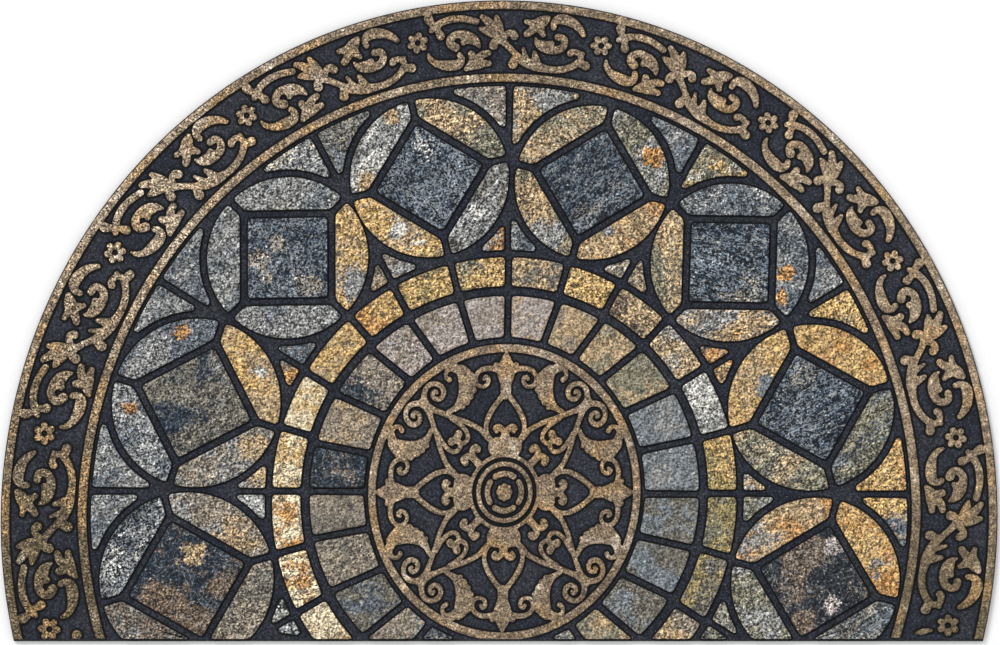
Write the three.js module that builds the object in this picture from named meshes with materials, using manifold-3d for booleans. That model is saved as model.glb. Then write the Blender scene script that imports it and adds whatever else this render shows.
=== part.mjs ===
/**
 * Half-round doormat, moulded in one piece from rubber crumb, its straight edge to the door.
 *
 * Everything on its face is relief of that one piece: a gold ring along the rim, a band of
 * scrollwork, an inner ring, a mosaic of paving stones laid in rounds and in two circles of
 * wedge stones, and a medallion with an eightfold ornament. The dark ground lies between them.
 *
 * Millimetres. X runs along the straight edge, Y from that edge to the top of the arch, Z up.
 * The origin is at the middle of the mat's box, on the surface that it lies on.
 * Angles are clockwise from straight up the mat, as a clock's hands are.
 */
import * as THREE from 'three';
import { mergeVertices } from 'three/addons/utils/BufferGeometryUtils.js';
import Module from 'manifold-3d';

const wasm = await Module();
wasm.setup();

// Overall size
const WIDTH = 949;
const DEPTH = 610;
const ARCH_RISE = 494;

// Heights above the floor: the dark ground, the gold relief, the stones, and where the straight
// foot of all relief starts inside the slab
const GROUND = 5.5;
const SCROLL_TOP = 8;
const STONE_TOP = 8.8;
const ROOT = 4;

// How far a raised edge leans in on its way up, and what stays clear along the cut edge and rim
const FLANK = 0.9;
const EDGE_MARGIN = 2;
const RIM_MARGIN = 1.2;

// The pattern leans to the right in the mould: the mosaic by this much of its height, and the
// border's scrollwork by this many degrees at the top of the arch
const MOSAIC_LEAN = 0.015;
const SCROLL_LEAN = 1.25;

// Every ring of the border has the arch's centre. lean is the share of its height that a ring leans
// to the right, and endDrift is how far its ends draw in with each degree below END_ANGLE.
const ARCH_CENTRE = new THREE.Vector2(0, DEPTH / 2 - ARCH_RISE);
const ARCH = { rx: WIDTH / 2, ry: ARCH_RISE, lean: 0.006, endDrift: 0 };
const RIM_RING_INSIDE = { rx: 466.1, ry: 485.6, lean: 0.006, endDrift: 0 };
const BAND_OUTSIDE = { rx: 465, ry: 484.5, lean: 0.0067, endDrift: 0.03 };
const BORDER_RING_OUTSIDE = { rx: 401.1, ry: 424.1, lean: 0.0115, endDrift: 0.25 };
const BORDER_RING_INSIDE = { rx: 392.7, ry: 416.4, lean: 0.0115, endDrift: 0.25 };
const END_ANGLE = 90;
const RING_STEPS = 84;

// The mosaic's own centre, its two circles of wedge stones and the medallion's ring. joints are the
// angles of the joints between wedges, from the lowest on the left to the lowest on the right.
const MOSAIC_CENTRE = new THREE.Vector2(5, -163.2);
const OUTER_WEDGES = {
  inside: { rx: 193.7, ry: 196 },
  outside: { rx: 220.8, ry: 223.6 },
  arcSteps: 2,
  joints: [-150, -135.2, -120.1, -105, -89.7, -74, -59.3, -42.2, -29.3, -14.1, 0.2, 14.9, 28.7, 43.2, 58.2,
    74.8, 90.3, 105.9, 122.4, 137, 151],
};
const INNER_WEDGES = {
  inside: { rx: 133.7, ry: 147.5 },
  outside: { rx: 185.1, ry: 187 },
  arcSteps: 1,
  joints: [-152, -136, -119.7, -103.6, -89.7, -75.6, -60.2, -43.7, -29.7, -14, 0.3, 15.3, 29.3, 43.2, 58.8,
    74.5, 90.6, 106.4, 121.7, 137, 152],
};
const MEDALLION_OUTSIDE = { rx: 130.2, ry: 141.5 };
const MEDALLION_INSIDE = { rx: 122.4, ry: 133.2 };
const MEDALLION_RING_STEPS = 40;

// Joints between the stones
const RADIAL_JOINT = 6.8;
const ROUND_JOINT = 7.2;
const RING_JOINT = 4;
const SQUARE_JOINT = 7.6;
const LENS_JOINT = 7;

// The rounds of paving, each a square set on its corner between four lenses, from the lowest on the
// left to the lowest on the right. at and reach lead to a round's middle from the mosaic's centre,
// turn is the angle that it is turned to, from and to are the radial joints on either side of it,
// and square is the side of its square. The lowest two lie beyond the straight edge.
const ROUNDS = [
  { at: -135.5, reach: 312, turn: -135.5, from: -150, to: -120.6, radius: 82, square: 78 },
  { at: -105.4, reach: 312.3, turn: -105.6, from: -120.6, to: -89.8, radius: 82.9, square: 80.7 },
  { at: -73.9, reach: 306.5, turn: -72.6, from: -89.8, to: -58.7, radius: 80.3, square: 77.4 },
  { at: -43, reach: 305.1, turn: -46, from: -58.7, to: -28.8, radius: 78.2, square: 74.8 },
  { at: -14.2, reach: 308.5, turn: -14.4, from: -28.8, to: -0.1, radius: 75.6, square: 73.6 },
  { at: 15, reach: 305, turn: 13.8, from: -0.1, to: 28.8, radius: 73.4, square: 72.8 },
  { at: 44, reach: 303.8, turn: 45.9, from: 28.8, to: 58.6, radius: 75.2, square: 73 },
  { at: 74.5, reach: 301.5, turn: 73.8, from: 58.6, to: 90.3, radius: 79, square: 74.4 },
  { at: 106, reach: 309.3, turn: 103.7, from: 90.3, to: 122.1, radius: 80.2, square: 76.8 },
  { at: 137.5, reach: 311, turn: 137.5, from: 122.1, to: 151, radius: 81, square: 77 },
];
const SQUARE_CORNER = 7;
const LENS_CORNER = 5;
const LENS_ARC_STEPS = 4;
const WEDGE_CORNER = 5.5;

// A corner opening wider than this, in degrees, isn't cut, nor is one beside a side shorter than
// this many cuts
const STRAIGHT_CORNER = 150;
const CORNER_ROOM = 2.2;

// The three-cornered stones beside each radial joint between two rounds. They reach around by up
// to the spread, in degrees, or until only the tip's width is left.
const SPANDREL_CORNER = 3.2;
const SPANDREL_SPREAD = 10;
const SPREAD_STEP = 0.25;
const SPANDREL_LEAST_SPREAD = 2.2;
const SPANDREL_TIP = 4;
const SPANDREL_MIDDLE = 50;
const SPANDREL_ARC_STEPS = 2;

// The border repeats around the arch, from one flower to the next. A row for each stroke of one
// repeat: along and across are millimetres from the flower and from the inner ring, half is the
// half width at each of those points, and steps is how many straight runs the stroke is made of.
const REPEAT_ANGLE = 22.87;
const REPEAT_LENGTH = 176;
const BAND_WIDTH = 62;
const REPEATS_EACH_SIDE = 5;
const BORDER_STROKES = [
  { name: 'upper arc', along: [15, 25, 41, 60], across: [50, 53, 57, 51],
    half: [6, 3.4, 3.2, 2.6], steps: 3 },
  { name: 'left comma', along: [59, 54, 43, 32, 31, 38], across: [29, 38, 41, 39, 30, 28],
    half: [1.8, 4.4, 4.6, 3.6, 3.4, 3.8], steps: 6 },
  { name: 'left crescent', along: [11, 18, 32, 41, 41], across: [27, 17, 12.5, 17, 23],
    half: [1.8, 3.6, 4.8, 3.6, 2.6], steps: 4 },
  { name: 'stem', along: [68, 78, 88, 98, 112, 127, 142, 160], across: [52, 41, 28, 16, 10, 7.5, 9, 20],
    half: [5, 6, 3, 5, 5.5, 3.6, 3, 6], steps: 7 },
  { name: 'right comma', along: [113, 117, 129, 141, 143, 135], across: [36, 28, 24.5, 28, 38, 41],
    half: [1.8, 4.4, 4.8, 3.8, 3.4, 3.8], steps: 6 },
  { name: 'right crescent', along: [130, 134, 145, 156, 160], across: [49, 56, 58, 53, 46],
    half: [2.6, 3.6, 4.6, 3.6, 1.9], steps: 4 },
  { name: 'lower leaf', along: [44, 56, 67], across: [7.5, 14, 21], half: [1.8, 6.4, 3.4], steps: 2 },
  { name: 'upper leaf', along: [104, 113, 123], across: [43, 50, 57], half: [3.6, 6, 3.2], steps: 2 },
];
const FLOWER = { across: 38, petals: 6, reach: 9.5, waist: 5 };

// The medallion's strokes between straight up and the diagonal, in millimetres from its centre, on
// a round medallion. Each is mirrored and turned to all eight places, then squeezed to the oval.
const MEDALLION_FOLD = 4;
const MEDALLION_STROKES = [
  { name: 'heart arm', along: [3.5, 11, 19, 17], across: [89, 77, 63, 44],
    half: [2.6, 2.5, 2.4, 3], steps: 3 },
  { name: 'almond arm', along: [72, 50, 31, 15], across: [76, 71, 63, 46],
    half: [2.4, 2.5, 2.5, 3], steps: 3 },
  { name: 'leaf', along: [61, 50, 41, 39, 45], across: [81, 84, 95, 108, 120],
    half: [2, 4.5, 7, 6.5, 3], steps: 4 },
];
const MEDALLION_VOLUTES = [
  { name: 'corner volute', x: 71, y: 96, from: 11.5, to: 4, start: 100, turn: -430, half: 2.7, steps: 7 },
  { name: 'axis volute', x: 22.5, y: 105, from: 9, to: 3.5, start: -30, turn: 370, half: 2.2, steps: 6 },
];
const FLEUR = { x: [0, 6, 14, 15, 7, 4.5], y: [131, 124, 122, 115, 104, 84] };
const HUB_BODY = { x: [0, 20, 23, 31], y: [52, 52, 41, 39] };
const HUB_GROOVE_RADIUS = 31;
const HUB_RING = { outside: 27, inside: 22.5 };
const ROSETTE_RADIUS = 9;
const HUB_STEPS = 24;
const ROSETTE_STEPS = 8;

const FLOCK_COLOUR = '#33353c';

// Points closer than this are one corner, and no detail of the joined solid is finer than this
const MERGE_DISTANCE = 1e-4;
const LEAST_DETAIL = 0.03;

const DEGREE = Math.PI / 180;

/** The point of an upright ellipse that a clock's hand at this angle, in degrees, is set to. */
function onEllipse(centre, size, angle) {
  const turn = angle * DEGREE;
  return new THREE.Vector2(centre.x + size.rx * Math.sin(turn), centre.y + size.ry * Math.cos(turn));
}

/** A list of points around an ellipse, from one angle to another. */
function ellipseArc(centre, size, from, to, steps) {
  return Array.from({ length: steps + 1 }, (_, i) => {
    return onEllipse(centre, size, THREE.MathUtils.lerp(from, to, i / steps));
  });
}

/** A closed ring of points around an ellipse. */
function ellipseLoop(centre, size, steps) {
  return ellipseArc(centre, size, 0, 360, steps).slice(0, -1);
}

/**
 * The points of a polygon with its corners cut across by a side of the given length. A corner
 * that is nearly straight, or has too short a side next to it, stays as it is.
 */
function blunt(points, side) {
  return points.flatMap((corner, i) => {
    const before = points.at(i - 1).clone().sub(corner);
    const after = points[(i + 1) % points.length].clone().sub(corner);
    const opening = before.angleTo(after);
    const cut = side / 2 / Math.sin(opening / 2);
    const room = Math.min(before.length(), after.length());
    if (opening > STRAIGHT_CORNER * DEGREE || room < CORNER_ROOM * cut) return [corner];
    return [before.setLength(cut).add(corner), after.setLength(cut).add(corner)];
  });
}

/** Leans points of the mosaic or the medallion to the right, in step with their height. */
function leaned(points) {
  return points.map((p) => new THREE.Vector2(p.x + MOSAIC_LEAN * (p.y - MOSAIC_CENTRE.y), p.y));
}

/** A solid from a three.js geometry, with its shared vertices merged. */
function solid(geometry) {
  const plain = geometry.index ? geometry.toNonIndexed() : geometry;
  plain.deleteAttribute('normal');
  plain.deleteAttribute('uv');
  const merged = mergeVertices(plain, MERGE_DISTANCE);
  return new wasm.Manifold(new wasm.Mesh({
    numProp: 3,
    vertProperties: new Float32Array(merged.attributes.position.array),
    triVerts: new Uint32Array(merged.index.array),
  }));
}

/** Relief: an outline that stands straight up to the ground, then leans in as far as its top. */
function raised(outline, top, holes = []) {
  const shape = new THREE.Shape(outline);
  shape.holes = holes.map((hole) => new THREE.Path(hole));
  const geometry = new THREE.ExtrudeGeometry(shape, {
    depth: GROUND - ROOT,
    bevelSegments: 1,
    bevelThickness: top - GROUND,
    bevelSize: FLANK,
    bevelOffset: -FLANK,
  });
  return solid(geometry.translate(0, 0, ROOT));
}

/** A stroke's outline: the smooth line through its points, with the half width on either side. */
function strokeOutline(points, half, steps) {
  const line = new THREE.SplineCurve(points);
  const left = [];
  const right = [];
  for (let i = 0; i <= steps; i++) {
    const t = i / steps;
    const at = line.getPoint(t);
    const across = line.getTangent(t).rotateAround(new THREE.Vector2(), Math.PI / 2);
    const slot = t * (half.length - 1);
    const low = Math.min(Math.floor(slot), half.length - 2);
    const width = THREE.MathUtils.lerp(half[low], half[low + 1], slot - low);
    left.push(at.clone().addScaledVector(across, width));
    right.push(at.clone().addScaledVector(across, -width));
  }
  return [...left, ...right.reverse()];
}

/** A point of one of the border's rings, which lean to the right and draw in at their ends. */
function onArch(size, angle) {
  const turn = angle * DEGREE;
  const drift = size.endDrift * Math.max(Math.abs(angle) - END_ANGLE, 0);
  const point = onEllipse(new THREE.Vector2(), grown(size, -drift), angle);
  return point.multiplyScalar(1 + size.lean * Math.sin(turn) * Math.cos(turn)).add(ARCH_CENTRE);
}

/** A closed ring of points around the arch, from straight down round to there again. */
function archLoop(size) {
  return Array.from({ length: RING_STEPS }, (_, i) => onArch(size, (360 * i) / RING_STEPS - 180));
}

/** Draws points outside the joint along the border's inner ring in to it, towards its centre. */
function insideRing(points) {
  return points.map((p) => {
    const out = p.clone().sub(ARCH_CENTRE);
    const joint = onArch(grown(BORDER_RING_INSIDE, -RING_JOINT), Math.atan2(out.x, out.y) / DEGREE);
    const limit = joint.distanceTo(ARCH_CENTRE);
    return out.clampLength(0, limit).add(ARCH_CENTRE);
  });
}

/** The rubber under the relief: the half-round outline, from the floor to the ground's height. */
function slab() {
  const shape = new THREE.Shape(archLoop(ARCH));
  const geometry = new THREE.ExtrudeGeometry(shape, { depth: GROUND, bevelEnabled: false });
  return solid(geometry).subtract(belowLine(-DEPTH / 2));
}

/** A block that takes away all that lies below a line across the mat. */
function belowLine(y) {
  const size = 2 * WIDTH;
  return solid(new THREE.BoxGeometry(size, size, size).translate(0, y - size / 2, 0));
}

/** A ring of relief between two loops. */
function ring(outside, inside) {
  return raised(outside, SCROLL_TOP, [inside.reverse()]);
}

/** The gold rings of the border: one along the rim and one between scrollwork and mosaic. */
function borderRings() {
  return [
    [grown(ARCH, -RIM_MARGIN), RIM_RING_INSIDE],
    [BORDER_RING_OUTSIDE, BORDER_RING_INSIDE],
  ].map((sizes) => ring(...sizes.map(archLoop)));
}

/** Bends a point of the border's repeat around the arch, between the two gold rings. */
function onBand(repeat, along, across) {
  const even = (repeat - 0.5 + along / REPEAT_LENGTH) * REPEAT_ANGLE;
  const angle = even + SCROLL_LEAN * Math.cos(even * DEGREE);
  const share = across / BAND_WIDTH;
  return onArch(BORDER_RING_OUTSIDE, angle).lerp(onArch(BAND_OUTSIDE, angle), share);
}

/** The flower between two repeats, a star of petals and waists. */
function flower(repeat) {
  const outline = Array.from({ length: FLOWER.petals * 2 }, (_, i) => {
    const turn = (i * Math.PI) / FLOWER.petals;
    const reach = i % 2 ? FLOWER.waist : FLOWER.reach;
    return onBand(repeat, reach * Math.cos(turn), FLOWER.across + reach * Math.sin(turn));
  });
  return raised(outline, SCROLL_TOP);
}

/** One repeat of the border's scrollwork. */
function borderRepeat(repeat) {
  const strokes = BORDER_STROKES.map((row) => {
    const points = row.along.map((along, i) => new THREE.Vector2(along, row.across[i]));
    const outline = strokeOutline(points, row.half, row.steps).map((p) => onBand(repeat, p.x, p.y));
    return raised(outline, SCROLL_TOP);
  });
  return [flower(repeat), ...strokes];
}

/** The stone between two ellipses and two radial joints, blunted at its corners. */
function wedge(circle, from, to) {
  const outline = [];
  for (const [size, first, last] of [[circle.outside, from, to], [circle.inside, to, from]]) {
    const inset = (RADIAL_JOINT / 2 / size.rx / DEGREE) * Math.sign(last - first);
    outline.push(...ellipseArc(MOSAIC_CENTRE, size, first + inset, last - inset, circle.arcSteps));
  }
  return raised(blunt(leaned(outline).reverse(), WEDGE_CORNER), STONE_TOP);
}

/** A circle of wedge stones, open where it lies beyond the straight edge. */
function wedgeCircle(circle) {
  return circle.joints.slice(1).map((joint, i) => wedge(circle, circle.joints[i], joint));
}

/** Moves points around a round's middle to their place in the mosaic, turned with the round. */
function placeRound(points, round) {
  const middle = onEllipse(MOSAIC_CENTRE, { rx: round.reach, ry: round.reach }, round.at);
  const turned = points.map((p) => p.clone().rotateAround(new THREE.Vector2(), -round.turn * DEGREE));
  return insideRing(leaned(turned.map((p) => p.add(middle))));
}

/** The square stone of a round, set on its corner. */
function squareStone(round) {
  const half = round.square / Math.SQRT2;
  const corners = [[half, 0], [0, half], [-half, 0], [0, -half]].map(([x, y]) => new THREE.Vector2(x, y));
  return raised(blunt(placeRound(corners, round), SQUARE_CORNER), STONE_TOP);
}

/** A lens stone: the round's edge outside, a straight side along the square, cut off at its ends. */
function lensStone(round, quarter) {
  const chord = round.square / 2 + SQUARE_JOINT;
  const slack = LENS_JOINT / Math.SQRT2;
  // The joint beside the square's corner is a line at half a right angle, set in by the slack
  const end = (slack + Math.sqrt(2 * round.radius ** 2 - slack ** 2)) / 2;
  const limit = Math.atan2(end - slack, end);
  const outline = [new THREE.Vector2(slack - chord, chord), new THREE.Vector2(chord - slack, chord)];
  for (let i = 0; i <= LENS_ARC_STEPS; i++) {
    const turn = limit * (1 - (2 * i) / LENS_ARC_STEPS);
    outline.push(new THREE.Vector2(round.radius * Math.sin(turn), round.radius * Math.cos(turn)));
  }
  const turned = outline.map((p) => p.rotateAround(new THREE.Vector2(), (quarter + 0.5) * Math.PI / 2));
  return raised(blunt(placeRound(turned, round), LENS_CORNER), STONE_TOP);
}

/**
 * The three-cornered stone between a round, a radial joint and a circle of the mosaic, or null
 * where there is no room for one. hand is -1 at the round's first joint and 1 at its second, and
 * outer tells the pair at the border from the pair at the wedge stones.
 */
function spandrel(round, hand, outer) {
  const sign = outer ? 1 : -1;
  const clear = round.radius + ROUND_JOINT;
  const joint = hand < 0 ? round.from : round.to;

  // A ray this far from the radial joint leaves the round's joint at the first point and meets
  // the circle's joint at the second
  const ray = (off) => {
    const turn = (Math.abs(joint - round.at) - off) * DEGREE;
    const half = Math.sqrt(clear ** 2 - (round.reach * Math.sin(turn)) ** 2);
    const reach = round.reach * Math.cos(turn) + sign * half;
    const angle = joint - hand * off;
    const near = onEllipse(MOSAIC_CENTRE, { rx: reach, ry: reach }, angle);
    const size = grown(OUTER_WEDGES.outside, RADIAL_JOINT);
    const far = outer ? borderSide(angle) : onEllipse(MOSAIC_CENTRE, size, angle);
    const ends = insideRing(leaned([near, far]));
    const room = sign * (far.distanceTo(MOSAIC_CENTRE) - reach);
    return { near: ends[0], far: ends[1], width: Math.min(room, ends[0].distanceTo(ends[1])) };
  };
  const inset = RADIAL_JOINT / 2 / (round.reach + sign * SPANDREL_MIDDLE) / DEGREE;
  let spread = SPANDREL_SPREAD;
  while (spread > 0 && ray(spread).width < SPANDREL_TIP) spread -= SPREAD_STEP;
  if (spread < SPANDREL_LEAST_SPREAD) return null;

  const rays = Array.from({ length: SPANDREL_ARC_STEPS + 1 }, (_, i) => {
    return ray(inset + ((spread - inset) * i) / SPANDREL_ARC_STEPS);
  });
  const outline = [...rays.map(({ near }) => near), rays.at(-1).far, rays[0].far];
  if (THREE.ShapeUtils.area(outline) < 0) outline.reverse();
  return raised(blunt(outline, SPANDREL_CORNER), STONE_TOP);
}

/** An ellipse's size, grown by a joint. */
function grown(size, joint) {
  return { ...size, rx: size.rx + joint, ry: size.ry + joint };
}

/**
 * Where a ray from the mosaic's centre meets the joint along the border's inner ring. The ray leans
 * more than the ring does, so it is measured as it slants against the ring, and its end is given as
 * it is before it leans.
 */
function borderSide(angle) {
  const size = grown(BORDER_RING_INSIDE, -RING_JOINT);
  const way = onEllipse(new THREE.Vector2(), { rx: 1, ry: 1 }, angle);
  const slant = way.x + (MOSAIC_LEAN - BORDER_RING_INSIDE.lean) * way.y;
  const from = MOSAIC_CENTRE.clone().sub(ARCH_CENTRE);
  const a = (slant / size.rx) ** 2 + (way.y / size.ry) ** 2;
  const b = (slant * from.x) / size.rx ** 2 + (way.y * from.y) / size.ry ** 2;
  const c = (from.x / size.rx) ** 2 + (from.y / size.ry) ** 2 - 1;
  return way.multiplyScalar((Math.sqrt(b * b - a * c) - b) / a).add(MOSAIC_CENTRE);
}

/** The stones of one round of paving and the three-cornered stones beside it. */
function paving(round) {
  const lenses = [0, 1, 2, 3].map((quarter) => lensStone(round, quarter));
  const spandrels = [-1, 1].flatMap((hand) => {
    return [true, false].map((outer) => spandrel(round, hand, outer));
  });
  return [squareStone(round), ...lenses, ...spandrels.filter(Boolean)];
}

/** Takes a point of the round medallion to its place on the oval one. */
function onMedallion(x, y, quarter, mirror) {
  const turned = new THREE.Vector2(mirror * x, y).rotateAround(new THREE.Vector2(), -quarter * Math.PI / 2);
  turned.x *= MEDALLION_INSIDE.rx / MEDALLION_INSIDE.ry;
  return leaned([turned.add(MOSAIC_CENTRE)])[0];
}

/** Raises one outline of the medallion at all its places. */
function repeated(outline, mirrors = [-1, 1]) {
  const copies = [];
  for (let quarter = 0; quarter < MEDALLION_FOLD; quarter++) {
    for (const mirror of mirrors) {
      const placed = outline.map((p) => onMedallion(p.x, p.y, quarter, mirror));
      if (THREE.ShapeUtils.area(placed) < 0) placed.reverse();
      copies.push(raised(placed, SCROLL_TOP));
    }
  }
  return copies;
}

/** The centre line of a volute: it winds in evenly from one radius to another. */
function volutePoints(row) {
  return Array.from({ length: row.steps + 1 }, (_, i) => {
    const share = i / row.steps;
    const radius = THREE.MathUtils.lerp(row.from, row.to, share);
    const angle = row.start + row.turn * share;
    return onEllipse(new THREE.Vector2(row.x, row.y), { rx: radius, ry: radius }, angle);
  });
}

/** The medallion: its ring, the ornament and the hub with its rosette. */
function medallion() {
  const strokes = MEDALLION_STROKES.flatMap((row) => {
    const points = row.along.map((along, i) => new THREE.Vector2(along, row.across[i]));
    return repeated(strokeOutline(points, row.half, row.steps));
  });
  const volutes = MEDALLION_VOLUTES.flatMap((row) => {
    return repeated(strokeOutline(volutePoints(row), [row.half, row.half], row.steps));
  });
  const rightHalf = FLEUR.x.map((x, i) => new THREE.Vector2(x, FLEUR.y[i]));
  const leftHalf = rightHalf.slice(1).reverse().map((p) => new THREE.Vector2(-p.x, p.y));
  const fleurs = repeated([...rightHalf, ...leftHalf], [1]);
  const ovals = [MEDALLION_OUTSIDE, MEDALLION_INSIDE].map((size) => {
    return leaned(ellipseLoop(MOSAIC_CENTRE, size, MEDALLION_RING_STEPS));
  });
  return [
    ring(...ovals),
    ...strokes,
    ...volutes,
    ...fleurs,
    ...hub(),
  ];
}

/** The hub: a body with concave corners around a groove, a ring and a rosette. */
function hub() {
  const body = [];
  for (let quarter = 0; quarter < MEDALLION_FOLD; quarter++) {
    const right = HUB_BODY.x.map((x, i) => onMedallion(x, HUB_BODY.y[i], quarter, 1));
    const left = HUB_BODY.x.slice(1).map((x, i) => onMedallion(x, HUB_BODY.y[i + 1], quarter, -1));
    body.push(...left.reverse(), ...right);
  }
  const circle = (radius, steps) => {
    const loop = ellipseLoop(new THREE.Vector2(), { rx: radius, ry: radius }, steps);
    return loop.map((p) => onMedallion(p.x, p.y, 0, 1));
  };
  return [
    raised(body.reverse(), SCROLL_TOP, [circle(HUB_GROOVE_RADIUS, HUB_STEPS)]),
    raised(circle(HUB_RING.outside, HUB_STEPS).reverse(), SCROLL_TOP, [circle(HUB_RING.inside, HUB_STEPS)]),
    raised(circle(ROSETTE_RADIUS, ROSETTE_STEPS).reverse(), SCROLL_TOP),
  ];
}

/** Every piece of relief, cut off a little inside the straight edge. */
function relief() {
  const pieces = [...borderRings(), ...medallion()];
  for (let repeat = -REPEATS_EACH_SIDE; repeat <= REPEATS_EACH_SIDE; repeat++) {
    pieces.push(...borderRepeat(repeat));
  }
  pieces.push(...wedgeCircle(OUTER_WEDGES), ...wedgeCircle(INNER_WEDGES));
  for (const round of ROUNDS) pieces.push(...paving(round));
  return wasm.Manifold.union(pieces).subtract(belowLine(-DEPTH / 2 + EDGE_MARGIN));
}

/** The mat's mesh from the joined solid. */
function matMesh() {
  const joined = slab().add(relief()).simplify(LEAST_DETAIL);
  const { vertProperties, triVerts } = joined.getMesh();
  const geometry = new THREE.BufferGeometry();
  geometry.setAttribute('position', new THREE.BufferAttribute(new Float32Array(vertProperties), 3));
  geometry.setIndex(new THREE.BufferAttribute(new Uint32Array(triVerts), 1));
  const flock = new THREE.MeshStandardMaterial({ color: FLOCK_COLOUR, roughness: 0.95, metalness: 0 });
  const mesh = new THREE.Mesh(geometry, flock);
  mesh.name = 'mat';
  return mesh;
}

const doormat = new THREE.Group();
doormat.add(matMesh());

export default doormat;
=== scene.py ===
# %% [markdown]
# # A half-round doormat, dressed in Blender
#
# The real mat is one moulding of rubber crumb. Its face has a print of paving stones and gold
# scrollwork on short flock, and everything printed also stands up a few millimetres.
# It could be made as one displaced plane, but edges as crisp as a mould's need a dense grid
# only where the scrollwork is. So the mat is made here of a slab, a layer of dark ground, a
# border band, a medallion and the stones, each with the grid that suits it.

import bpy
import numpy as np
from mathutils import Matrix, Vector


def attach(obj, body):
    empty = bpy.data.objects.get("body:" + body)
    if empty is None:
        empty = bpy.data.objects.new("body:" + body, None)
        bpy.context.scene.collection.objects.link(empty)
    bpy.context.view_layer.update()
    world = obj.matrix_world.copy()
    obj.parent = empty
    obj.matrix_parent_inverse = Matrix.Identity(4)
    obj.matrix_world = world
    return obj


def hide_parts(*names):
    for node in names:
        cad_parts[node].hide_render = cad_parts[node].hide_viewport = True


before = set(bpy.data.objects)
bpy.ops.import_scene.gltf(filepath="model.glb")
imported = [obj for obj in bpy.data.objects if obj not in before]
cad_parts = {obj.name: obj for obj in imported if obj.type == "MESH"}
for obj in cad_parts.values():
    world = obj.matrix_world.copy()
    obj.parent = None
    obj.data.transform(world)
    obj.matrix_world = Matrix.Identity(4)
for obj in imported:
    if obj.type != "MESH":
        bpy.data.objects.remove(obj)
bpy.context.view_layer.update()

# %% [markdown]
# ## Sizes
#
# The sizes are those of the solid that the mat was moulded from, in millimetres: X along the
# straight edge, Y from that edge to the top of the arch, Z up. Angles are a clock's, clockwise
# from straight up, because both the arch and the rounds of paving are laid out around a centre.

# %% Sizes of the mat
MM = 0.001
WIDTH, DEPTH, ARCH_RISE = 949.0, 610.0, 494.0
GROUND, SCROLL_TOP, STONE_TOP, ROOT = 5.5, 8.0, 8.8, 4.0
CUT_EDGE = -DEPTH / 2
RELIEF_CUT = CUT_EDGE + 2.0
ARCH_CENTRE = np.array([0.0, DEPTH / 2 - ARCH_RISE])
ARCH = np.array([WIDTH / 2, ARCH_RISE])
BORDER_RING_INSIDE = np.array([392.7, 416.4])
MOSAIC_CENTRE = np.array([5.0, -163.2])
# the two ovals of each circle of wedges: half width, half height, and growth towards the foot
OUTER_WEDGES = ((193.7, 196.0, 0.03), (220.8, 223.6, 0.04))
INNER_WEDGES = ((133.7, 147.5, 0.0), (185.1, 187.0, 0.02))
MOSAIC_LEAN, RING_LEAN, RIM_LEAN = 0.015, 0.0115, 0.006
SCROLL_LEAN = 1.25


def on_ellipse(centre, size, angle):
    """Points of an upright ellipse: the centre plus rx times the sine and ry times the cosine."""
    turn = np.radians(angle)
    x, y = np.broadcast_arrays(centre[0] + size[0] * np.sin(turn), centre[1] + size[1] * np.cos(turn))
    return np.stack([x, y], -1)


def oval_size(oval, angle, joint=0.0):
    """Half width and height of an oval that grows by a share below its middle, most at its foot."""
    share = 1 + oval[2] * np.maximum(-np.cos(np.radians(angle)), 0)
    return (oval[0] + joint) * share, (oval[1] + joint) * share


def leaned(points):
    """Points moved to the right by a small share of their height over the mosaic's centre."""
    slant = MOSAIC_LEAN * (points[..., 1] - MOSAIC_CENTRE[1])
    return np.stack([points[..., 0] + slant, points[..., 1]], -1)


print("the mat is", WIDTH, "by", DEPTH, "by", STONE_TOP, "mm")

# %% [markdown]
# ## From arrays to a mesh
#
# Every piece of the mat is a set of numpy arrays before it is a mesh: points, faces, and a few
# values for each point that its finish reads. Adding the faces one at a time with bmesh would be
# slow for a relief this fine, so foreach_set puts whole arrays in place.

# %% A piece of the mat from arrays
def make_piece(name, points, faces, values, finish):
    """A closed mesh from points in millimetres, arrays of faces, and values for each point."""
    mesh = bpy.data.meshes.new(name)
    corners = np.concatenate([f.ravel() for f in faces]).astype(np.int32)
    sizes = np.concatenate([np.full(len(f), f.shape[1]) for f in faces])
    mesh.vertices.add(len(points))
    mesh.vertices.foreach_set("co", (points * MM).ravel().astype(np.float32))
    mesh.loops.add(len(corners))
    mesh.loops.foreach_set("vertex_index", corners)
    mesh.polygons.add(len(sizes))
    mesh.polygons.foreach_set("loop_start", (np.cumsum(sizes) - sizes).astype(np.int32))
    mesh.polygons.foreach_set("use_smooth", np.ones(len(sizes), bool))
    for key, value in values.items():
        kind, field = ("FLOAT", "value") if value.ndim == 1 else ("FLOAT_VECTOR", "vector")
        mesh.attributes.new(key, kind, "POINT").data.foreach_set(field, value.ravel().astype(np.float32))
    mesh.update(calc_edges=True)
    mesh.validate()
    mesh.materials.append(finish)
    piece = bpy.data.objects.new(name, mesh)
    bpy.context.scene.collection.objects.link(piece)
    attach(piece, "root")
    print(name, "has", len(points), "points and", int((sizes - 2).sum()), "triangles")
    return piece


def strips(index):
    """Quads between the rows of a grid of point numbers; they face up where rows run inwards."""
    a, b = index[:-1, :-1], index[:-1, 1:]
    d, c = index[1:, :-1], index[1:, 1:]
    return np.stack([a, b, c, d], -1).reshape(-1, 4)


def nested(count, loops, around):
    """Faces of closed shells, each of loops from its underside up to its middle, with both caps."""
    index = np.arange(count * loops * around).reshape(count, loops, around)
    wrapped = np.concatenate([index, index[:, :, :1]], 2)
    sides = np.concatenate([strips(one) for one in wrapped])
    return [sides, index[:, 0, ::-1], index[:, -1]]


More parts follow.
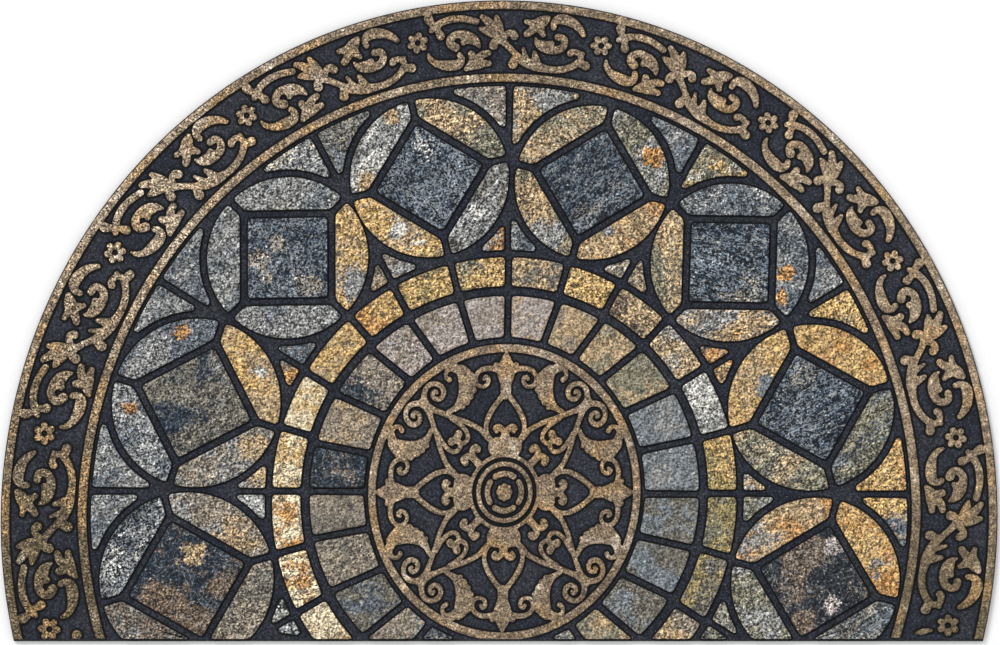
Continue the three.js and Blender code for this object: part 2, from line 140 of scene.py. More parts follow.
# %% [markdown]
# ## Writing a finish as arithmetic
#
# A finish is a network of nodes, but it reads best as a formula: where the speck mask is 1 the
# colour is darker, and so on. One small class wraps a socket, and its operators add Math nodes.

# %% Sockets with arithmetic
class Field:
    """A socket of a finish. Arithmetic on it adds Math nodes."""

    def __init__(self, tree, socket=None):
        self.tree = tree
        self.socket = socket

    def node(self, kind, settings=(), sockets=(), out=0):
        """Adds a node, sets its settings first, then gives its sockets values or links."""
        made = self.tree.nodes.new(kind)
        for key, value in dict(settings).items():
            setattr(made, key, value)
        for key, value in dict(sockets).items():
            if isinstance(value, Field):
                self.tree.links.new(value.socket, made.inputs[key])
            else:
                made.inputs[key].default_value = value
        return Field(self.tree, made.outputs[out])

    def maths(self, operation, *terms):
        return self.node("ShaderNodeMath", {"operation": operation}, enumerate(terms))

    def __add__(self, other):
        return self.maths("ADD", self, other)

    def __sub__(self, other):
        return self.maths("SUBTRACT", self, other)

    def __rsub__(self, other):
        return self.maths("SUBTRACT", other, self)

    def __mul__(self, other):
        return self.maths("MULTIPLY", self, other)

    __radd__ = __add__
    __rmul__ = __mul__

    def plain(self, shade):
        """One colour everywhere."""
        whole = self.node("ShaderNodeRGB")
        whole.socket.default_value = shade
        return whole

    def step(self, low, high):
        """0 below low, 1 above high, and a smooth S between them."""
        limits = {"Value": self, "From Min": low, "From Max": high}
        return self.node("ShaderNodeMapRange", {"interpolation_type": "SMOOTHSTEP"}, limits)

    def noise(self, size, detail=2.0, roughness=0.5, swirl=0.0):
        """Cloudy noise around 0.5 on coordinates in millimetres, its clouds about size across."""
        amounts = {"Vector": self, "Scale": 1 / size, "Detail": detail, "Roughness": roughness,
                   "Distortion": swirl}
        return self.node("ShaderNodeTexNoise", {}, amounts)

    def lit(self, size, detail, roughness, shift):
        """Noise less the same noise a little to the upper left: its ledges as if lit from there."""
        offset = (-shift, shift, 0.0)
        return self.noise(size, detail, roughness) - self.moved(offset).noise(size, detail, roughness)

    def blend(self, other, share):
        """This colour where the share is 0, and the other where it is 1."""
        colours = {0: share, 6: self, 7: other}
        return self.node("ShaderNodeMix", {"data_type": "RGBA"}, colours, out=2)

    def line(self, half):
        """1 where this noise passes its middle value, 0 from half away: thin winding lines."""
        return 1.0 - self.maths("ABSOLUTE", self - 0.5).step(0.0, half)

    def stops(self, amount):
        """This colour made twice as light with each whole number of the amount."""
        return self.shade(self.maths("POWER", 2.0, amount))

    def shade(self, amount):
        """This colour times a number."""
        return self.node("ShaderNodeVectorMath", {"operation": "SCALE"}, {0: self, "Scale": amount})

    def moved(self, offset):
        """These coordinates moved by an offset."""
        return self.node("ShaderNodeVectorMath", {"operation": "ADD"}, {0: self, 1: offset})

    def value_of(self, key, out="Vector"):
        """What the mesh stores for each point under this key."""
        return self.node("ShaderNodeAttribute", {"attribute_name": key}, out=out)

    def place(self):
        """The place on the mat, in millimetres."""
        spot = self.node("ShaderNodeTexCoord", out="Object")
        return self.node("ShaderNodeVectorMath", {"operation": "SCALE"}, {0: spot, "Scale": 1 / MM})


def linear(red, green, blue):
    """A colour as a screen shows it, out of 255, in the linear scale that light adds up in."""
    share = np.array([red, green, blue]) / 255
    return np.where(share <= 0.04045, share / 12.92, ((share + 0.055) / 1.055) ** 2.4)


def colour(*screen):
    return (*linear(*screen), 1.0)


def new_finish(name, paint, roughness, sheen=0.0):
    """A material whose paint function gives its colour and its height in millimetres."""
    finish = bpy.data.materials.new(name)
    finish.use_nodes = True
    tree = finish.node_tree
    shader = tree.nodes["Principled BSDF"]
    shader.inputs["Roughness"].default_value = roughness
    shader.inputs["Specular IOR Level"].default_value = 0.25
    shader.inputs["Sheen Weight"].default_value = sheen
    shade, height = paint(Field(tree))
    bump = height.node("ShaderNodeBump", {}, {"Strength": 1.0, "Distance": MM, "Height": height})
    tree.links.new(shade.socket, shader.inputs["Base Color"])
    tree.links.new(bump.socket, shader.inputs["Normal"])
    return finish


print("finishes can be written now")

# %% [markdown]
# ## The rubber
#
# Bare rubber shows as a thin rim around the gold ring, at the cut edge and underneath. It is
# bonded crumb: black, matte, pebbled by grains of a millimetre or two. Noise of that size as
# bump, with patches of lighter grey on its raised grains, gives that without any modelled grains.

# %% The rubber's finish
CRUMB_BLACK, CRUMB_GREY = (30, 30, 33), (66, 64, 62)


def paint_rubber(field):
    place = field.place()
    crumb = place.noise(1.6, 2.0, 0.55)
    grey_patches = place.noise(14.0, 3.0).step(0.5, 0.75)
    black = field.plain(colour(*CRUMB_BLACK))
    # lighter grey in patches, only where the crumb is raised
    shade = black.blend(colour(*CRUMB_GREY), grey_patches * crumb.step(0.45, 0.7) * 0.6)
    return shade, crumb * 0.35


rubber = new_finish("crumb rubber", paint_rubber, 0.8)

# %% [markdown]
# ## The slab
#
# The slab is the half-round of rubber under everything. It could be an extruded outline with a
# bevel. Here a small profile of inset and height is carried round the outline, which rounds the
# rim as the mould does and leaves the underside flat on the floor.

# %% The slab from a profile carried round the outline
ARC_POINTS, EDGE_POINTS = 480, 160
SLAB_PROFILE = np.array([[1.4, 0.0], [0.5, 0.12], [0.1, 0.5], [0.0, 1.1], [0.0, 4.0], [0.15, 4.7],
                         [0.55, 5.15], [1.2, 5.3]])


def half_round(inset):
    """The mat's outline, inset evenly: an arc of the ellipse, then the straight edge back."""
    size = ARCH - inset
    low = CUT_EDGE + inset
    end = np.degrees(np.arccos((low - ARCH_CENTRE[1]) / size[1]))
    angle = np.linspace(end, -end, ARC_POINTS)
    lean = 1 + RIM_LEAN * np.sin(np.radians(angle)) * np.cos(np.radians(angle))
    arc = ARCH_CENTRE + (on_ellipse(ARCH_CENTRE, size, angle) - ARCH_CENTRE) * lean[:, None]
    arc[[0, -1], 1] = low
    share = np.linspace(0, 1, EDGE_POINTS + 2)[1:-1, None]
    return np.concatenate([arc, arc[-1] * (1 - share) + arc[0] * share])


def carried_round(profile):
    """A loop of the mat's outline for each inset and height of a profile."""
    return np.stack([np.column_stack([half_round(inset), np.full(ARC_POINTS + EDGE_POINTS, height)])
                     for inset, height in profile])


def flat_area(outline):
    """The area inside a closed line: half the sum of the cross products of its points."""
    after = np.roll(outline, -1, 0)
    return 0.5 * np.sum(outline[:, 0] * after[:, 1] - after[:, 0] * outline[:, 1])


loops = carried_round(SLAB_PROFILE)
slab = make_piece("rubber_slab", loops.reshape(-1, 3), nested(1, *loops.shape[:2]), {}, rubber)
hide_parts("mat")
slab_area = flat_area(half_round(0.0))
print("the slab's outline holds", round(slab_area / 1e6, 4), "square metres")

# %% [markdown]
# ## The dark ground
#
# Between the stones and the scrolls lies a charcoal-navy flock, with light fibres scattered in
# it. Close beside anything raised it is painted nearly black: painted shade in the low corners,
# where light alone would darken them only a little. So each raised piece stores how far every
# point is from its outline, and the finish reads that.

# %% The ground's colour
# the last colour is painted shade, nearly black, for the ground close beside raised edges
GROUND_NAVY, GROUND_GREY, FIBRE, PAINTED_SHADE = (32, 36, 46), (44, 46, 53), (120, 120, 118), (9, 10, 13)


def ground_shade(place, edge=None):
    """Navy and charcoal clouds, fine grain and light fibres, and painted shade, almost black, close to a
    raised edge.
    """
    clouds = place.noise(60.0, 3.0).step(0.35, 0.65)
    shade = place.plain(colour(*GROUND_NAVY)).blend(colour(*GROUND_GREY), clouds)
    shade = shade.stops(6.5 * place.noise(1.6, 1.0) - 3.25)
    fibres = place.noise(1.7, 1.0).step(0.68, 0.76)
    shade = shade.blend(colour(*FIBRE), fibres * 0.6)
    if edge:
        # painted shade: nearly black within about three millimetres outside a raised edge
        shade = shade.blend(colour(*PAINTED_SHADE), edge.step(-3.2, -0.9))
    return shade


def paint_ground(field):
    place = field.place()
    return ground_shade(place), place.noise(0.9, 2.0) * 0.3


ground_flock = new_finish("charcoal flock", paint_ground, 0.95, 0.1)

# %% The ground's layer
GROUND_PROFILE = np.array([[1.6, 4.6], [1.5, 5.3], [1.9, 5.45], [3.0, GROUND]])
loops = carried_round(GROUND_PROFILE)
ground = make_piece("dark_ground", loops.reshape(-1, 3), nested(1, *loops.shape[:2]), {}, ground_flock)

# %% [markdown]
# ## The gold flock
#
# Rings, scrolls and the medallion are printed a speckled gold. Seen close, tan flock is broken up
# by dark specks a millimetre or two across, more strongly on the mat's left. From further off the
# gold drifts between orange-tan, cream and a dull brown, as slate does. A painted image could hold
# all that, but it blurs when seen close. So the mesh stores the colour of each stretch, and noise
# of three sizes makes patches, grain and specks that stay sharp.

# %% The gold's finish
SPECK, GOLD_PALE, GOLD_DUN, GOLD_ORANGE = (28, 25, 26), (214, 200, 180), (112, 96, 82), (186, 148, 98)


def gold_paint(left_grain, right_grain):
    """The paint of gold flock whose grain has one strength on the mat's left and one on its right."""

    def paint(field):
        place = field.place()
        across = field.node("ShaderNodeSeparateXYZ", {}, {0: place}).step(-WIDTH / 2, WIDTH / 2)
        grain = left_grain + (right_grain - left_grain) * across
        edge = field.value_of("edge", "Fac")
        gold = field.value_of("tint", "Color")
        drift = place.noise(34.0, 4.0, 0.65)
        orange = place.moved((9.0, 80.0, 0.0)).noise(40.0, 3.0).step(0.52, 0.66)
        gold = gold.blend(colour(*GOLD_PALE), drift.step(0.55, 0.72) * 0.6)
        gold = gold.blend(colour(*GOLD_DUN), drift.step(0.46, 0.3) * 0.65)
        gold = gold.blend(colour(*GOLD_ORANGE), orange * 0.5)
        fine = place.noise(1.7, 1.0, 0.7) - 0.5
        gold = gold.stops(3.5 * place.noise(7.0, 2.0, 0.6) + 6.5 * grain * fine - 1.85)
        specks = place.moved((40.0, 7.0, 0.0)).noise(1.9, 2.0, 0.7).step(0.53, 0.58)
        gold = gold.blend(colour(*SPECK), specks * grain * 0.8)
        # the ground round the gold, with its painted shade beside the edge
        shade = ground_shade(place, edge).blend(gold, edge.step(-0.05, 0.45))
        return shade, place.noise(0.9, 2.0) * 0.3

    return paint


border_gold = new_finish("gold flock of the border", gold_paint(1.2, 0.8), 0.9, 0.1)
medallion_gold = new_finish("gold flock of the medallion", gold_paint(0.85, 0.85), 0.9, 0.1)

# %% [markdown]
# ## Drawing relief with strokes
#
# Scrollwork is drawn as a carver would chart it: each stroke is a row of points with a half width
# at each. A smooth line goes through them, and the distance from a place on the mat to the
# nearest stroke's edge says whether the place is raised. The same distance gives crisp flanks.

# %% Smooth strokes and the distance to them
def smooth_line(points, runs=6):
    """A Catmull-Rom curve through rows of place and half width, as short straight runs."""
    p = np.vstack([2 * points[0] - points[1], points, 2 * points[-1] - points[-2]])
    a, b, c, d = (p[i:len(p) - 3 + i, None] for i in range(4))
    t = (np.arange(runs) / runs)[None, :, None]
    curve = b + 0.5 * t * (c - a + t * (2 * a - 5 * b + 4 * c - d + t * (3 * (b - c) + d - a)))
    curve = np.vstack([curve.reshape(-1, 3), points[-1]])
    curve[:, 2] = np.maximum(curve[:, 2], 0.5)
    return curve


def smooth_union(first, second, blend):
    """The larger of two depths, with a fillet of about the blend where they are alike."""
    h = np.clip(0.5 + 0.5 * (first - second) / blend, 0, 1)
    return second + (first - second) * h + blend * h * (1 - h)


def stroke_depth(x, y, strokes, blend=1.0):
    """How deep each place lies inside the strokes: half width less the distance to the line."""
    depth = np.full(x.shape, -1e3)
    for stroke in strokes:
        line = smooth_line(np.array(stroke, float))
        inside = np.full(x.shape, -1e3)
        for start, run in zip(line[:-1], np.diff(line, axis=0)):
            length = run[0] ** 2 + run[1] ** 2
            t = np.clip(((x - start[0]) * run[0] + (y - start[1]) * run[1]) / length, 0, 1)
            away = np.hypot(x - start[0] - t * run[0], y - start[1] - t * run[1])
            inside = np.maximum(inside, start[2] + t * run[2] - away)
        depth = smooth_union(inside, depth, blend)
    return depth


FLANK_HALF, CROWN, CROWN_START, CROWN_WIDTH, SKIN = 0.45, 0.35, 0.4, 1.2, 0.05


def relief_height(depth):
    """Just over the ground outside the strokes, a quick flank, then the top with a soft crown."""
    flank = np.clip((depth + FLANK_HALF) / (2 * FLANK_HALF), 0, 1)
    crown = CROWN * (1 - np.exp(-np.maximum(depth - CROWN_START, 0) / CROWN_WIDTH))
    return GROUND + SKIN + (SCROLL_TOP - CROWN - GROUND) * flank + crown * (flank > 0.99)


GOLDS = {
    "olive": (112, 98, 75),
    "dun": (140, 122, 100),
    "tan": (160, 140, 115),
    "cream": (182, 164, 140),
}


def tint_along(drift, at):
    """The gold at each angle, blended between the few places that a drift names."""
    rows = np.array([[place, *linear(*GOLDS[gold])] for place, gold in drift])
    return np.stack([np.interp(at, rows[:, 0], rows[:, k]) for k in (1, 2, 3)], -1)


print("strokes can be drawn now")

# %% [markdown]
# ## The border's repeat
#
# The border repeats about every 23 degrees. One repeat could be modelled and copied round the
# arch, but the oval stretches each copy differently. So one repeat is charted from one flower to
# the next: along the band, across it from the inner ring, and the half width, all in millimetres.

# %% The chart of one repeat
BORDER_STROKES = [
    # upper arc with its knob, prong and small knob
    [(14.3, 60, 4.0), (14.3, 58.5, 4.2), (16.5, 54, 3.2), (19.5, 51, 3.8), (26, 54, 3.3), (35, 55.8, 3.5),
     (46, 55.1, 3.3), (57.3, 51.6, 3.2)],
    [(19.5, 51, 3.4), (21.5, 45.5, 3.1), (23, 40.8, 4.1)],
    [(18.5, 50, 3), (15.2, 47.5, 2.6)],
    # left comma
    [(35.8, 28.2, 4.4), (31.6, 31.5, 3.9), (31.8, 36.3, 3.8), (37, 40.3, 3.7), (42.5, 39.8, 4.2),
     (47.5, 37.3, 5.8), (52, 35, 5.4), (56.3, 31.7, 3.8), (59.3, 26.5, 1.4)],
    [(48, 36, 4.6), (44, 32, 2.8)],
    # left crescent
    [(8.8, 24.8, 1.5), (10.3, 19.8, 2.7), (15.5, 14.8, 3.5), (23.5, 12, 4.9), (31.5, 11, 5.3),
     (38, 12, 4.6), (40.7, 16.5, 3.4), (39.3, 20.3, 2.9)],
    # lower leaf
    [(44.2, 5.9, 2.2), (49.5, 9, 4.6), (54.5, 11, 6)],
    [(53.5, 12.5, 5), (51, 20.3, 3.5)],
    [(56.5, 13.5, 4.6), (61.5, 18.6, 3.9), (67.7, 20.3, 3.1)],
    [(56.5, 9.5, 4.6), (64.5, 10.2, 3.3), (67.9, 10.3, 3)],
    # palmette
    [(63.3, 55.8, 2.8), (68.5, 51, 4), (73.5, 45, 4.2)],
    [(76, 55.5, 2.2), (77.5, 49, 3.8), (78.5, 43, 4.6)],
    [(60.5, 44.3, 1.7), (65.5, 42.8, 3.8), (72.5, 39.8, 4.6)],
    [(78, 39, 5), (80.5, 32.8, 3.8)],
    [(83, 34.5, 2.5), (86.3, 39, 3.1), (90.8, 39.9, 3.5), (93, 36.8, 4)],
    [(79.5, 32.6, 3), (74, 31.5, 3.2), (73, 27.6, 4.5)],
    # stem, lower arc and head
    [(80.5, 32.8, 3.6), (87.5, 26.5, 3.1), (94, 20, 3.1), (100.5, 14, 4.3), (108.5, 10.6, 5),
     (116.5, 8.2, 4.9), (126, 6.8, 3.7), (135, 6.5, 3.4), (144, 8.3, 3.4), (152, 12, 3.3), (158, 17, 3.4),
     (160, 22, 2.7), (156.5, 26.3, 2.9), (150.7, 26.6, 3.2), (148.9, 25, 3.5)],
    [(94.5, 17, 2.6), (92.5, 9.5, 4.9)],
    [(105.5, 15, 3.2), (103.5, 20.5, 2.3), (102, 25, 1.6)],
    [(115.5, 11, 5.3), (114.5, 18, 3.2), (113.3, 22, 2.1)],
    [(159, 23, 2.4), (160.6, 26.5, 2.3)],
    [(158, 17, 3.2), (166, 15.4, 4.4)],
    # upper leaf
    [(123, 56.4, 2.8), (118, 52.3, 5.5), (113, 48.5, 5.4)],
    [(113, 49.5, 4.4), (107, 50.5, 2.9), (104, 51.2, 2.6)],
    [(112, 46.3, 4.5), (108, 41.8, 3.7), (104.8, 39.5, 3.4)],
    [(116, 46.3, 4.8), (119, 41.5, 2.9), (120.3, 39.5, 2.6)],
    # right crescent
    [(129.3, 47.6, 2.7), (129.5, 53, 3.2), (134, 56.5, 4.8), (140, 56.6, 5.2), (148, 54, 4.4),
     (154, 49.5, 3.4), (158, 44.6, 2.3)],
    # right comma
    [(113.3, 35.9, 1.1), (115.5, 31.7, 3), (120, 29.2, 5.2), (126, 27.5, 5.8), (133, 25.9, 4.1),
     (139, 28.2, 3.8), (141.6, 33.2, 3.5), (140, 38, 3.5), (134.7, 39, 3.5)],
    [(125, 28.7, 5), (129, 31.9, 3.1)],
]
FLOWER_AT, FLOWER_TURN, PETALS = (0.5, 38.0), 12.0, 6
PETAL_REACH, PETAL_RADIUS, FLOWER_RING, FLOWER_RING_HALF = 7.2, 3.1, 4.6, 1.9
REPEAT_ANGLE, REPEAT_LENGTH, BAND_WIDTH = 22.87, 176.0, 62.0


def flower_depth(x, y):
    """Depth inside a ring with six round petals around it."""
    x, y = x - FLOWER_AT[0], y - FLOWER_AT[1]
    radius = np.hypot(x, y)
    sector = 2 * np.pi / PETALS
    turn = (np.arctan2(y, x) - np.radians(FLOWER_TURN)) / sector
    fold = np.abs((turn + 0.5) % 1 - 0.5) * sector
    petal = PETAL_RADIUS - np.hypot(radius * np.cos(fold) - PETAL_REACH, radius * np.sin(fold))
    return smooth_union(petal, FLOWER_RING_HALF - np.abs(radius - FLOWER_RING), 1.2)


TABLE_STEP = 0.4
table_x, table_y = np.meshgrid(np.arange(0, REPEAT_LENGTH + 1, TABLE_STEP),
                               np.arange(-2, BAND_WIDTH + 2, TABLE_STEP))
repeat_depth = stroke_depth(table_x, table_y, BORDER_STROKES)
for flower_x in (table_x, table_x - REPEAT_LENGTH):
    repeat_depth = np.maximum(repeat_depth, flower_depth(flower_x, table_y))


def look_up(along, across):
    """The repeat's depth at any place, blended from the four nearest entries of its table."""
    column = np.clip(along / TABLE_STEP, 0, repeat_depth.shape[1] - 1.001)
    row = np.clip((across + 2) / TABLE_STEP, 0, repeat_depth.shape[0] - 1.001)
    i, j = row.astype(int), column.astype(int)
    v, u = row - i, column - j
    low = repeat_depth[i, j] * (1 - u) + repeat_depth[i, j + 1] * u
    high = repeat_depth[i + 1, j] * (1 - u) + repeat_depth[i + 1, j + 1] * u
    return low * (1 - v) + high * v


print("one repeat covers", round(100 * float((repeat_depth > 0).mean())), "percent of its band with gold")

# %% [markdown]
# ## The border band
#
# The band is a grid of distance across and angle, bent round the arch, its height read from the
# chart. A plain grid would cut every edge in steps, so points near an edge are first moved onto
# its two sides. Three parts keep each mesh light.

# %% Relief on a grid
SIDE, REACH, LONGEST_MOVE = 0.42, 0.8, 0.45


def snap(depth_at, first, second, first_size, second_size):
    """Moves places close to an edge along the depth's slope until they lie just beside it."""
    nudge = 0.05
    depth = depth_at(first, second)
    by_first = depth_at(first + nudge / first_size, second) - depth_at(first - nudge / first_size, second)
    by_second = depth_at(first, second + nudge / second_size) - depth_at(first, second - nudge / second_size)
    slope = np.stack([by_first, by_second]) / (2 * nudge)
    gap = np.clip(np.where(depth > 0, SIDE, -SIDE) - depth, -LONGEST_MOVE, LONGEST_MOVE)
    move = np.where(np.abs(depth) < REACH, gap, 0) * slope / np.maximum((slope**2).sum(0), 0.3)
    move[:, [0, -1]] = 0
    move[:, :, [0, -1]] = 0
    first, second = first + move[0] / first_size, second + move[1] / second_size
    return first, second, depth_at(first, second)


def relief_piece(name, flat, depth, tint, finish):
    """A closed piece from a grid seen from above: relief on top, a skirt to the root, an underside."""
    height = relief_height(depth)
    height[[0, -1]] = GROUND - 0.1
    top = np.dstack([flat, height]).reshape(-1, 3)
    rows, columns = depth.shape
    number = np.arange(rows * columns).reshape(rows, columns)
    rim = np.concatenate([number[0, :-1], number[:-1, -1], number[-1, :0:-1], number[:0:-1, 0]])
    below = rows * columns + np.arange(len(rim))
    skirt = strips(np.stack([np.append(below, below[0]), np.append(rim, rim[0])]))
    points = np.concatenate([top, top[rim] * [1, 1, 0] + [0, 0, ROOT]])
    tint = tint.reshape(-1, 3)
    values = {"edge": np.append(depth.ravel(), np.full(len(rim), -REACH)),
              "tint": np.concatenate([tint, tint[rim]])}
    return make_piece(name, points, [strips(number), skirt, below[None, ::-1]], values, finish)


# %% The band's grid and its three parts
ACROSS_KNOTS = [-22.0, -11.1, -8.5, 0, 62, 70.3, 71.2]
BAND_RX = [379.2, 390.1, 392.7, 401.2, 465, 473.3, 474.2]
BAND_RY = [402.9, 413.8, 416.4, 424.2, 484.5, 492.8, 493.7]
BAND_CELLS_ALONG, BAND_CELLS_ACROSS, BAND_PARTS = 1860, 99, 3
INNER_RING, INNER_HALF, RIM_RING, RIM_HALF = -4.3, 4.2, 66.8, 3.7
END_ANGLE, END_DRIFT = 90.0, 0.25
LAST_FLOWER, FOOT_REACH = 104.9, 4.0
BORDER_DRIFT = [
    (-90, "olive"), (-65, "tan"), (-50, "cream"), (-35, "tan"),
    (0, "dun"), (30, "tan"), (75, "tan"), (100, "olive"),
]


def band_depth(angle, across):
    """Depth inside the two rings and the scrollwork, which leans a little around the arch."""
    even = angle
    for _ in range(3):
        even = angle - SCROLL_LEAN * np.cos(np.radians(even))
    scrolls = look_up((even / REPEAT_ANGLE + 0.5) % 1 * REPEAT_LENGTH, across)
    scrolls = np.where(np.abs(even) < LAST_FLOWER, scrolls, -FOOT_REACH)
    inner = INNER_HALF - np.abs(across - INNER_RING)
    rim = RIM_HALF - np.abs(across - RIM_RING)
    return np.maximum(np.maximum(scrolls, inner), rim)


def on_band(angle, across):
    """The ellipse that belongs to a place across the band. The inner ring leans and closes most."""
    inwards = 1 - np.clip(across / ACROSS_KNOTS[-1], 0, 1)
    across = across - END_DRIFT * np.maximum(np.abs(angle) - END_ANGLE, 0) * inwards
    size = np.interp(across, ACROSS_KNOTS, BAND_RX), np.interp(across, ACROSS_KNOTS, BAND_RY)
    turn = np.radians(angle)
    lean = 1 + (RIM_LEAN + (RING_LEAN - RIM_LEAN) * inwards) * np.sin(turn) * np.cos(turn)
    return ARCH_CENTRE + (on_ellipse(ARCH_CENTRE, size, angle) - ARCH_CENTRE) * lean[..., None]


def band_ends(across):
    """The angle at which the cut edge ends the band, at each distance across it."""
    return np.degrees(np.arccos((RELIEF_CUT - ARCH_CENTRE[1]) / np.interp(across, ACROSS_KNOTS, BAND_RY)))


across, share = np.meshgrid(np.linspace(ACROSS_KNOTS[1], ACROSS_KNOTS[-1], BAND_CELLS_ACROSS + 1),
                            np.linspace(-1, 1, BAND_CELLS_ALONG + 1), indexing="ij")
mm_per_degree = np.radians(np.interp(across, ACROSS_KNOTS, BAND_RX))
angle, across, depth = snap(band_depth, share * band_ends(across), across, mm_per_degree, 1.0)
flat = on_band(angle, across)
tint = tint_along(BORDER_DRIFT, angle)
for part in range(BAND_PARTS):
    stretch = slice(part * BAND_CELLS_ALONG // BAND_PARTS, (part + 1) * BAND_CELLS_ALONG // BAND_PARTS + 1)
    relief_piece(f"border_band_{part + 1}", flat[:, stretch], depth[:, stretch],
                                      tint[:, stretch], border_gold)

# %% [markdown]
# ## The medallion
#
# The medallion is an oval with an eightfold ornament. Eight mirrored copies of one part would do,
# but they would meet in seams. So it is charted between straight up and the diagonal on a round
# medallion; every other place is folded into that eighth, and the whole is squeezed to the oval.
# A square grid bent into a disc keeps its cells even.

# %% The chart of an eighth
MEDALLION_STROKES = [
    # fleur
    [(0, 133, 1.2), (0, 128, 4.0), (0, 121, 7.3), (0, 115, 9.4), (0, 109, 7.6), (0, 103, 5.5), (0, 96, 5.5),
     (0, 91.5, 3.4)],
    [(7, 119.5, 3), (10.8, 121.3, 2.5)],
    # axis volute
    [(8, 116.2, 3), (14, 117.6, 2.7), (21, 117.6, 2.6), (27, 115.6, 2.4), (30.8, 111.2, 2.3),
     (31.2, 105.8, 2.2), (28.5, 101.7, 2.1), (23.5, 100.5, 2), (19.2, 103, 2.2), (18.2, 107.5, 2.3),
     (20.8, 109.8, 2.3), (22.8, 107.8, 2)],
    # heart's arm, curl and stem
    [(2.5, 92.6, 3), (8.5, 85.6, 2.6), (14, 78, 2.7), (18, 70.4, 2.7), (19.8, 63.3, 2.4), (19, 56, 2.6),
     (15, 49, 3)],
    [(0, 48, 6), (0, 57, 3.8)],
    [(2.5, 59.2, 3.2), (6.5, 62.3, 3), (9.8, 60.8, 3), (8.7, 57.8, 2.2)],
    # hub's body and its corner curls
    [(0, 43, 9.6), (8, 43, 9.6)],
    [(26, 26, 4), (33.5, 33.5, 3.4)],
    [(33.2, 34.8, 3), (34.3, 39, 2.9), (31.2, 42.8, 3.3), (28.2, 40.8, 3.5)],
    # almond's arm and inner ornament
    [(80, 80, 4.4), (72, 77.6, 2.8), (62, 74, 2.6), (52, 70.4, 2.5), (42, 67.4, 2.5), (32, 63, 2.5),
     (25, 59, 2.6), (18, 52, 3)],
    [(46, 46, 2.4), (42.5, 46.9, 2.3), (39.2, 49.5, 2.3), (38.6, 54, 2.3), (41, 58.9, 2.3),
     (45.5, 63.2, 2.2), (51, 66.9, 2.1), (56, 69.8, 2.1)],
    [(46.5, 46.5, 2.6), (50.3, 50.3, 3.4)],
    [(50.3, 51.3, 3.4), (48.2, 55.4, 4)],
    # corner volute
    [(80, 81, 3.6), (84, 87.4, 3.2), (84.3, 93.5, 2.9), (82.5, 99, 2.7), (78, 102.6, 2.6),
     (72.5, 103.2, 2.6), (67, 100.6, 2.7), (64.3, 95.6, 2.7), (65.8, 90.6, 2.6), (70, 88.4, 2.5),
     (74.5, 90, 2.3), (75.8, 94, 2.2), (73, 96.4, 2.1), (71.5, 94.6, 1.8)],
    [(80, 80, 4.4), (86.5, 86.5, 3.4)],
    # leaf with its lobes and hook
    [(46, 116.5, 5), (42, 109.5, 8), (40.5, 101.5, 8.4), (41.5, 93.5, 7.6), (45.5, 86.3, 5.4),
     (51.5, 80.3, 3.2), (59, 76.6, 2.2)],
    [(40, 110, 5), (36, 111.8, 2.8)],
    [(38, 104, 5), (33.6, 104.5, 3.2)],
    [(38, 97, 5), (33.2, 97.5, 3.2)],
    [(41, 92, 5), (36.4, 91, 3)],
    [(44, 87, 4.5), (40, 85.5, 2.9)],
    [(48, 83, 3.5), (44, 80.7, 2.3)],
    [(44, 113, 5), (51, 117.2, 4.4), (58, 118.2, 3.3), (62, 114.2, 2.2), (62, 109.5, 2.2),
     (58.7, 107, 2.7)],
    [(53, 119, 4), (60, 119.6, 3)],
]
MEDALLION_RY, MEDALLION_MARGIN, MEDALLION_CELLS = 141.5, 1.9, 300
SQUEEZE = 122.4 / 133.2
MEDALLION_RING, MEDALLION_RING_HALF = 137.2, 3.9
HUB_RIM, HUB_RIM_HALF, HUB_HOLE = 35.3, 2.0, 33.3
HUB_RING, HUB_RING_HALF = 27.0, 2.4
BEAN_RING, BEAN_HALF, BEAN_SPREAD = 17.6, 2.9, 33.0
ROSETTE_RADIUS, ROSETTE_LOBES, ROSETTE_WAVE = 8.2, 8, 0.5


def hub_depth(u, v):
    """Depth inside the hub's ring, its four beans and its scalloped rosette."""
    radius = np.hypot(u, v)
    turn = np.degrees(np.arctan2(u, v))
    off = np.abs((turn + 45) % 90 - 45)
    swing = np.radians(np.maximum(off - BEAN_SPREAD, 0)) * BEAN_RING
    beans = BEAN_HALF - np.hypot(radius - BEAN_RING, swing)
    ring = HUB_RING_HALF - np.abs(radius - HUB_RING)
    rosette = ROSETTE_RADIUS + ROSETTE_WAVE * np.cos(np.radians(turn) * ROSETTE_LOBES) - radius
    return np.maximum(np.maximum(ring, beans), rosette)


def medallion_depth(u, v):
    """Depth inside the oval ring, the folded ornament and the hub."""
    x, y = np.minimum(np.abs(u), np.abs(v)), np.maximum(np.abs(u), np.abs(v))
    radius = np.hypot(u, v)
    ornament = stroke_depth(x, y, MEDALLION_STROKES)
    ornament = smooth_union(ornament, HUB_RIM_HALF - np.abs(radius - HUB_RIM), 1.0)
    ornament = np.minimum(ornament, radius - HUB_HOLE)
    ring = MEDALLION_RING_HALF - np.abs(radius - MEDALLION_RING)
    return np.maximum(np.maximum(ornament, hub_depth(u, v)), ring)


def disc_grid(cells):
    """A square grid bent into the unit disc: its radius is the larger side, its rings squares."""
    a, b = np.meshgrid(np.linspace(-1, 1, cells + 1), np.linspace(-1, 1, cells + 1))
    radius = np.maximum(np.abs(a), np.abs(b))
    wide = np.abs(a) > np.abs(b)
    slope = np.where(wide, b, a) / np.maximum(radius, 1e-9) * np.pi / 4
    x = np.where(wide, np.sign(a) * np.cos(slope), np.sin(slope))
    y = np.where(wide, np.sin(slope), np.sign(b) * np.cos(slope))
    return radius * x, radius * y


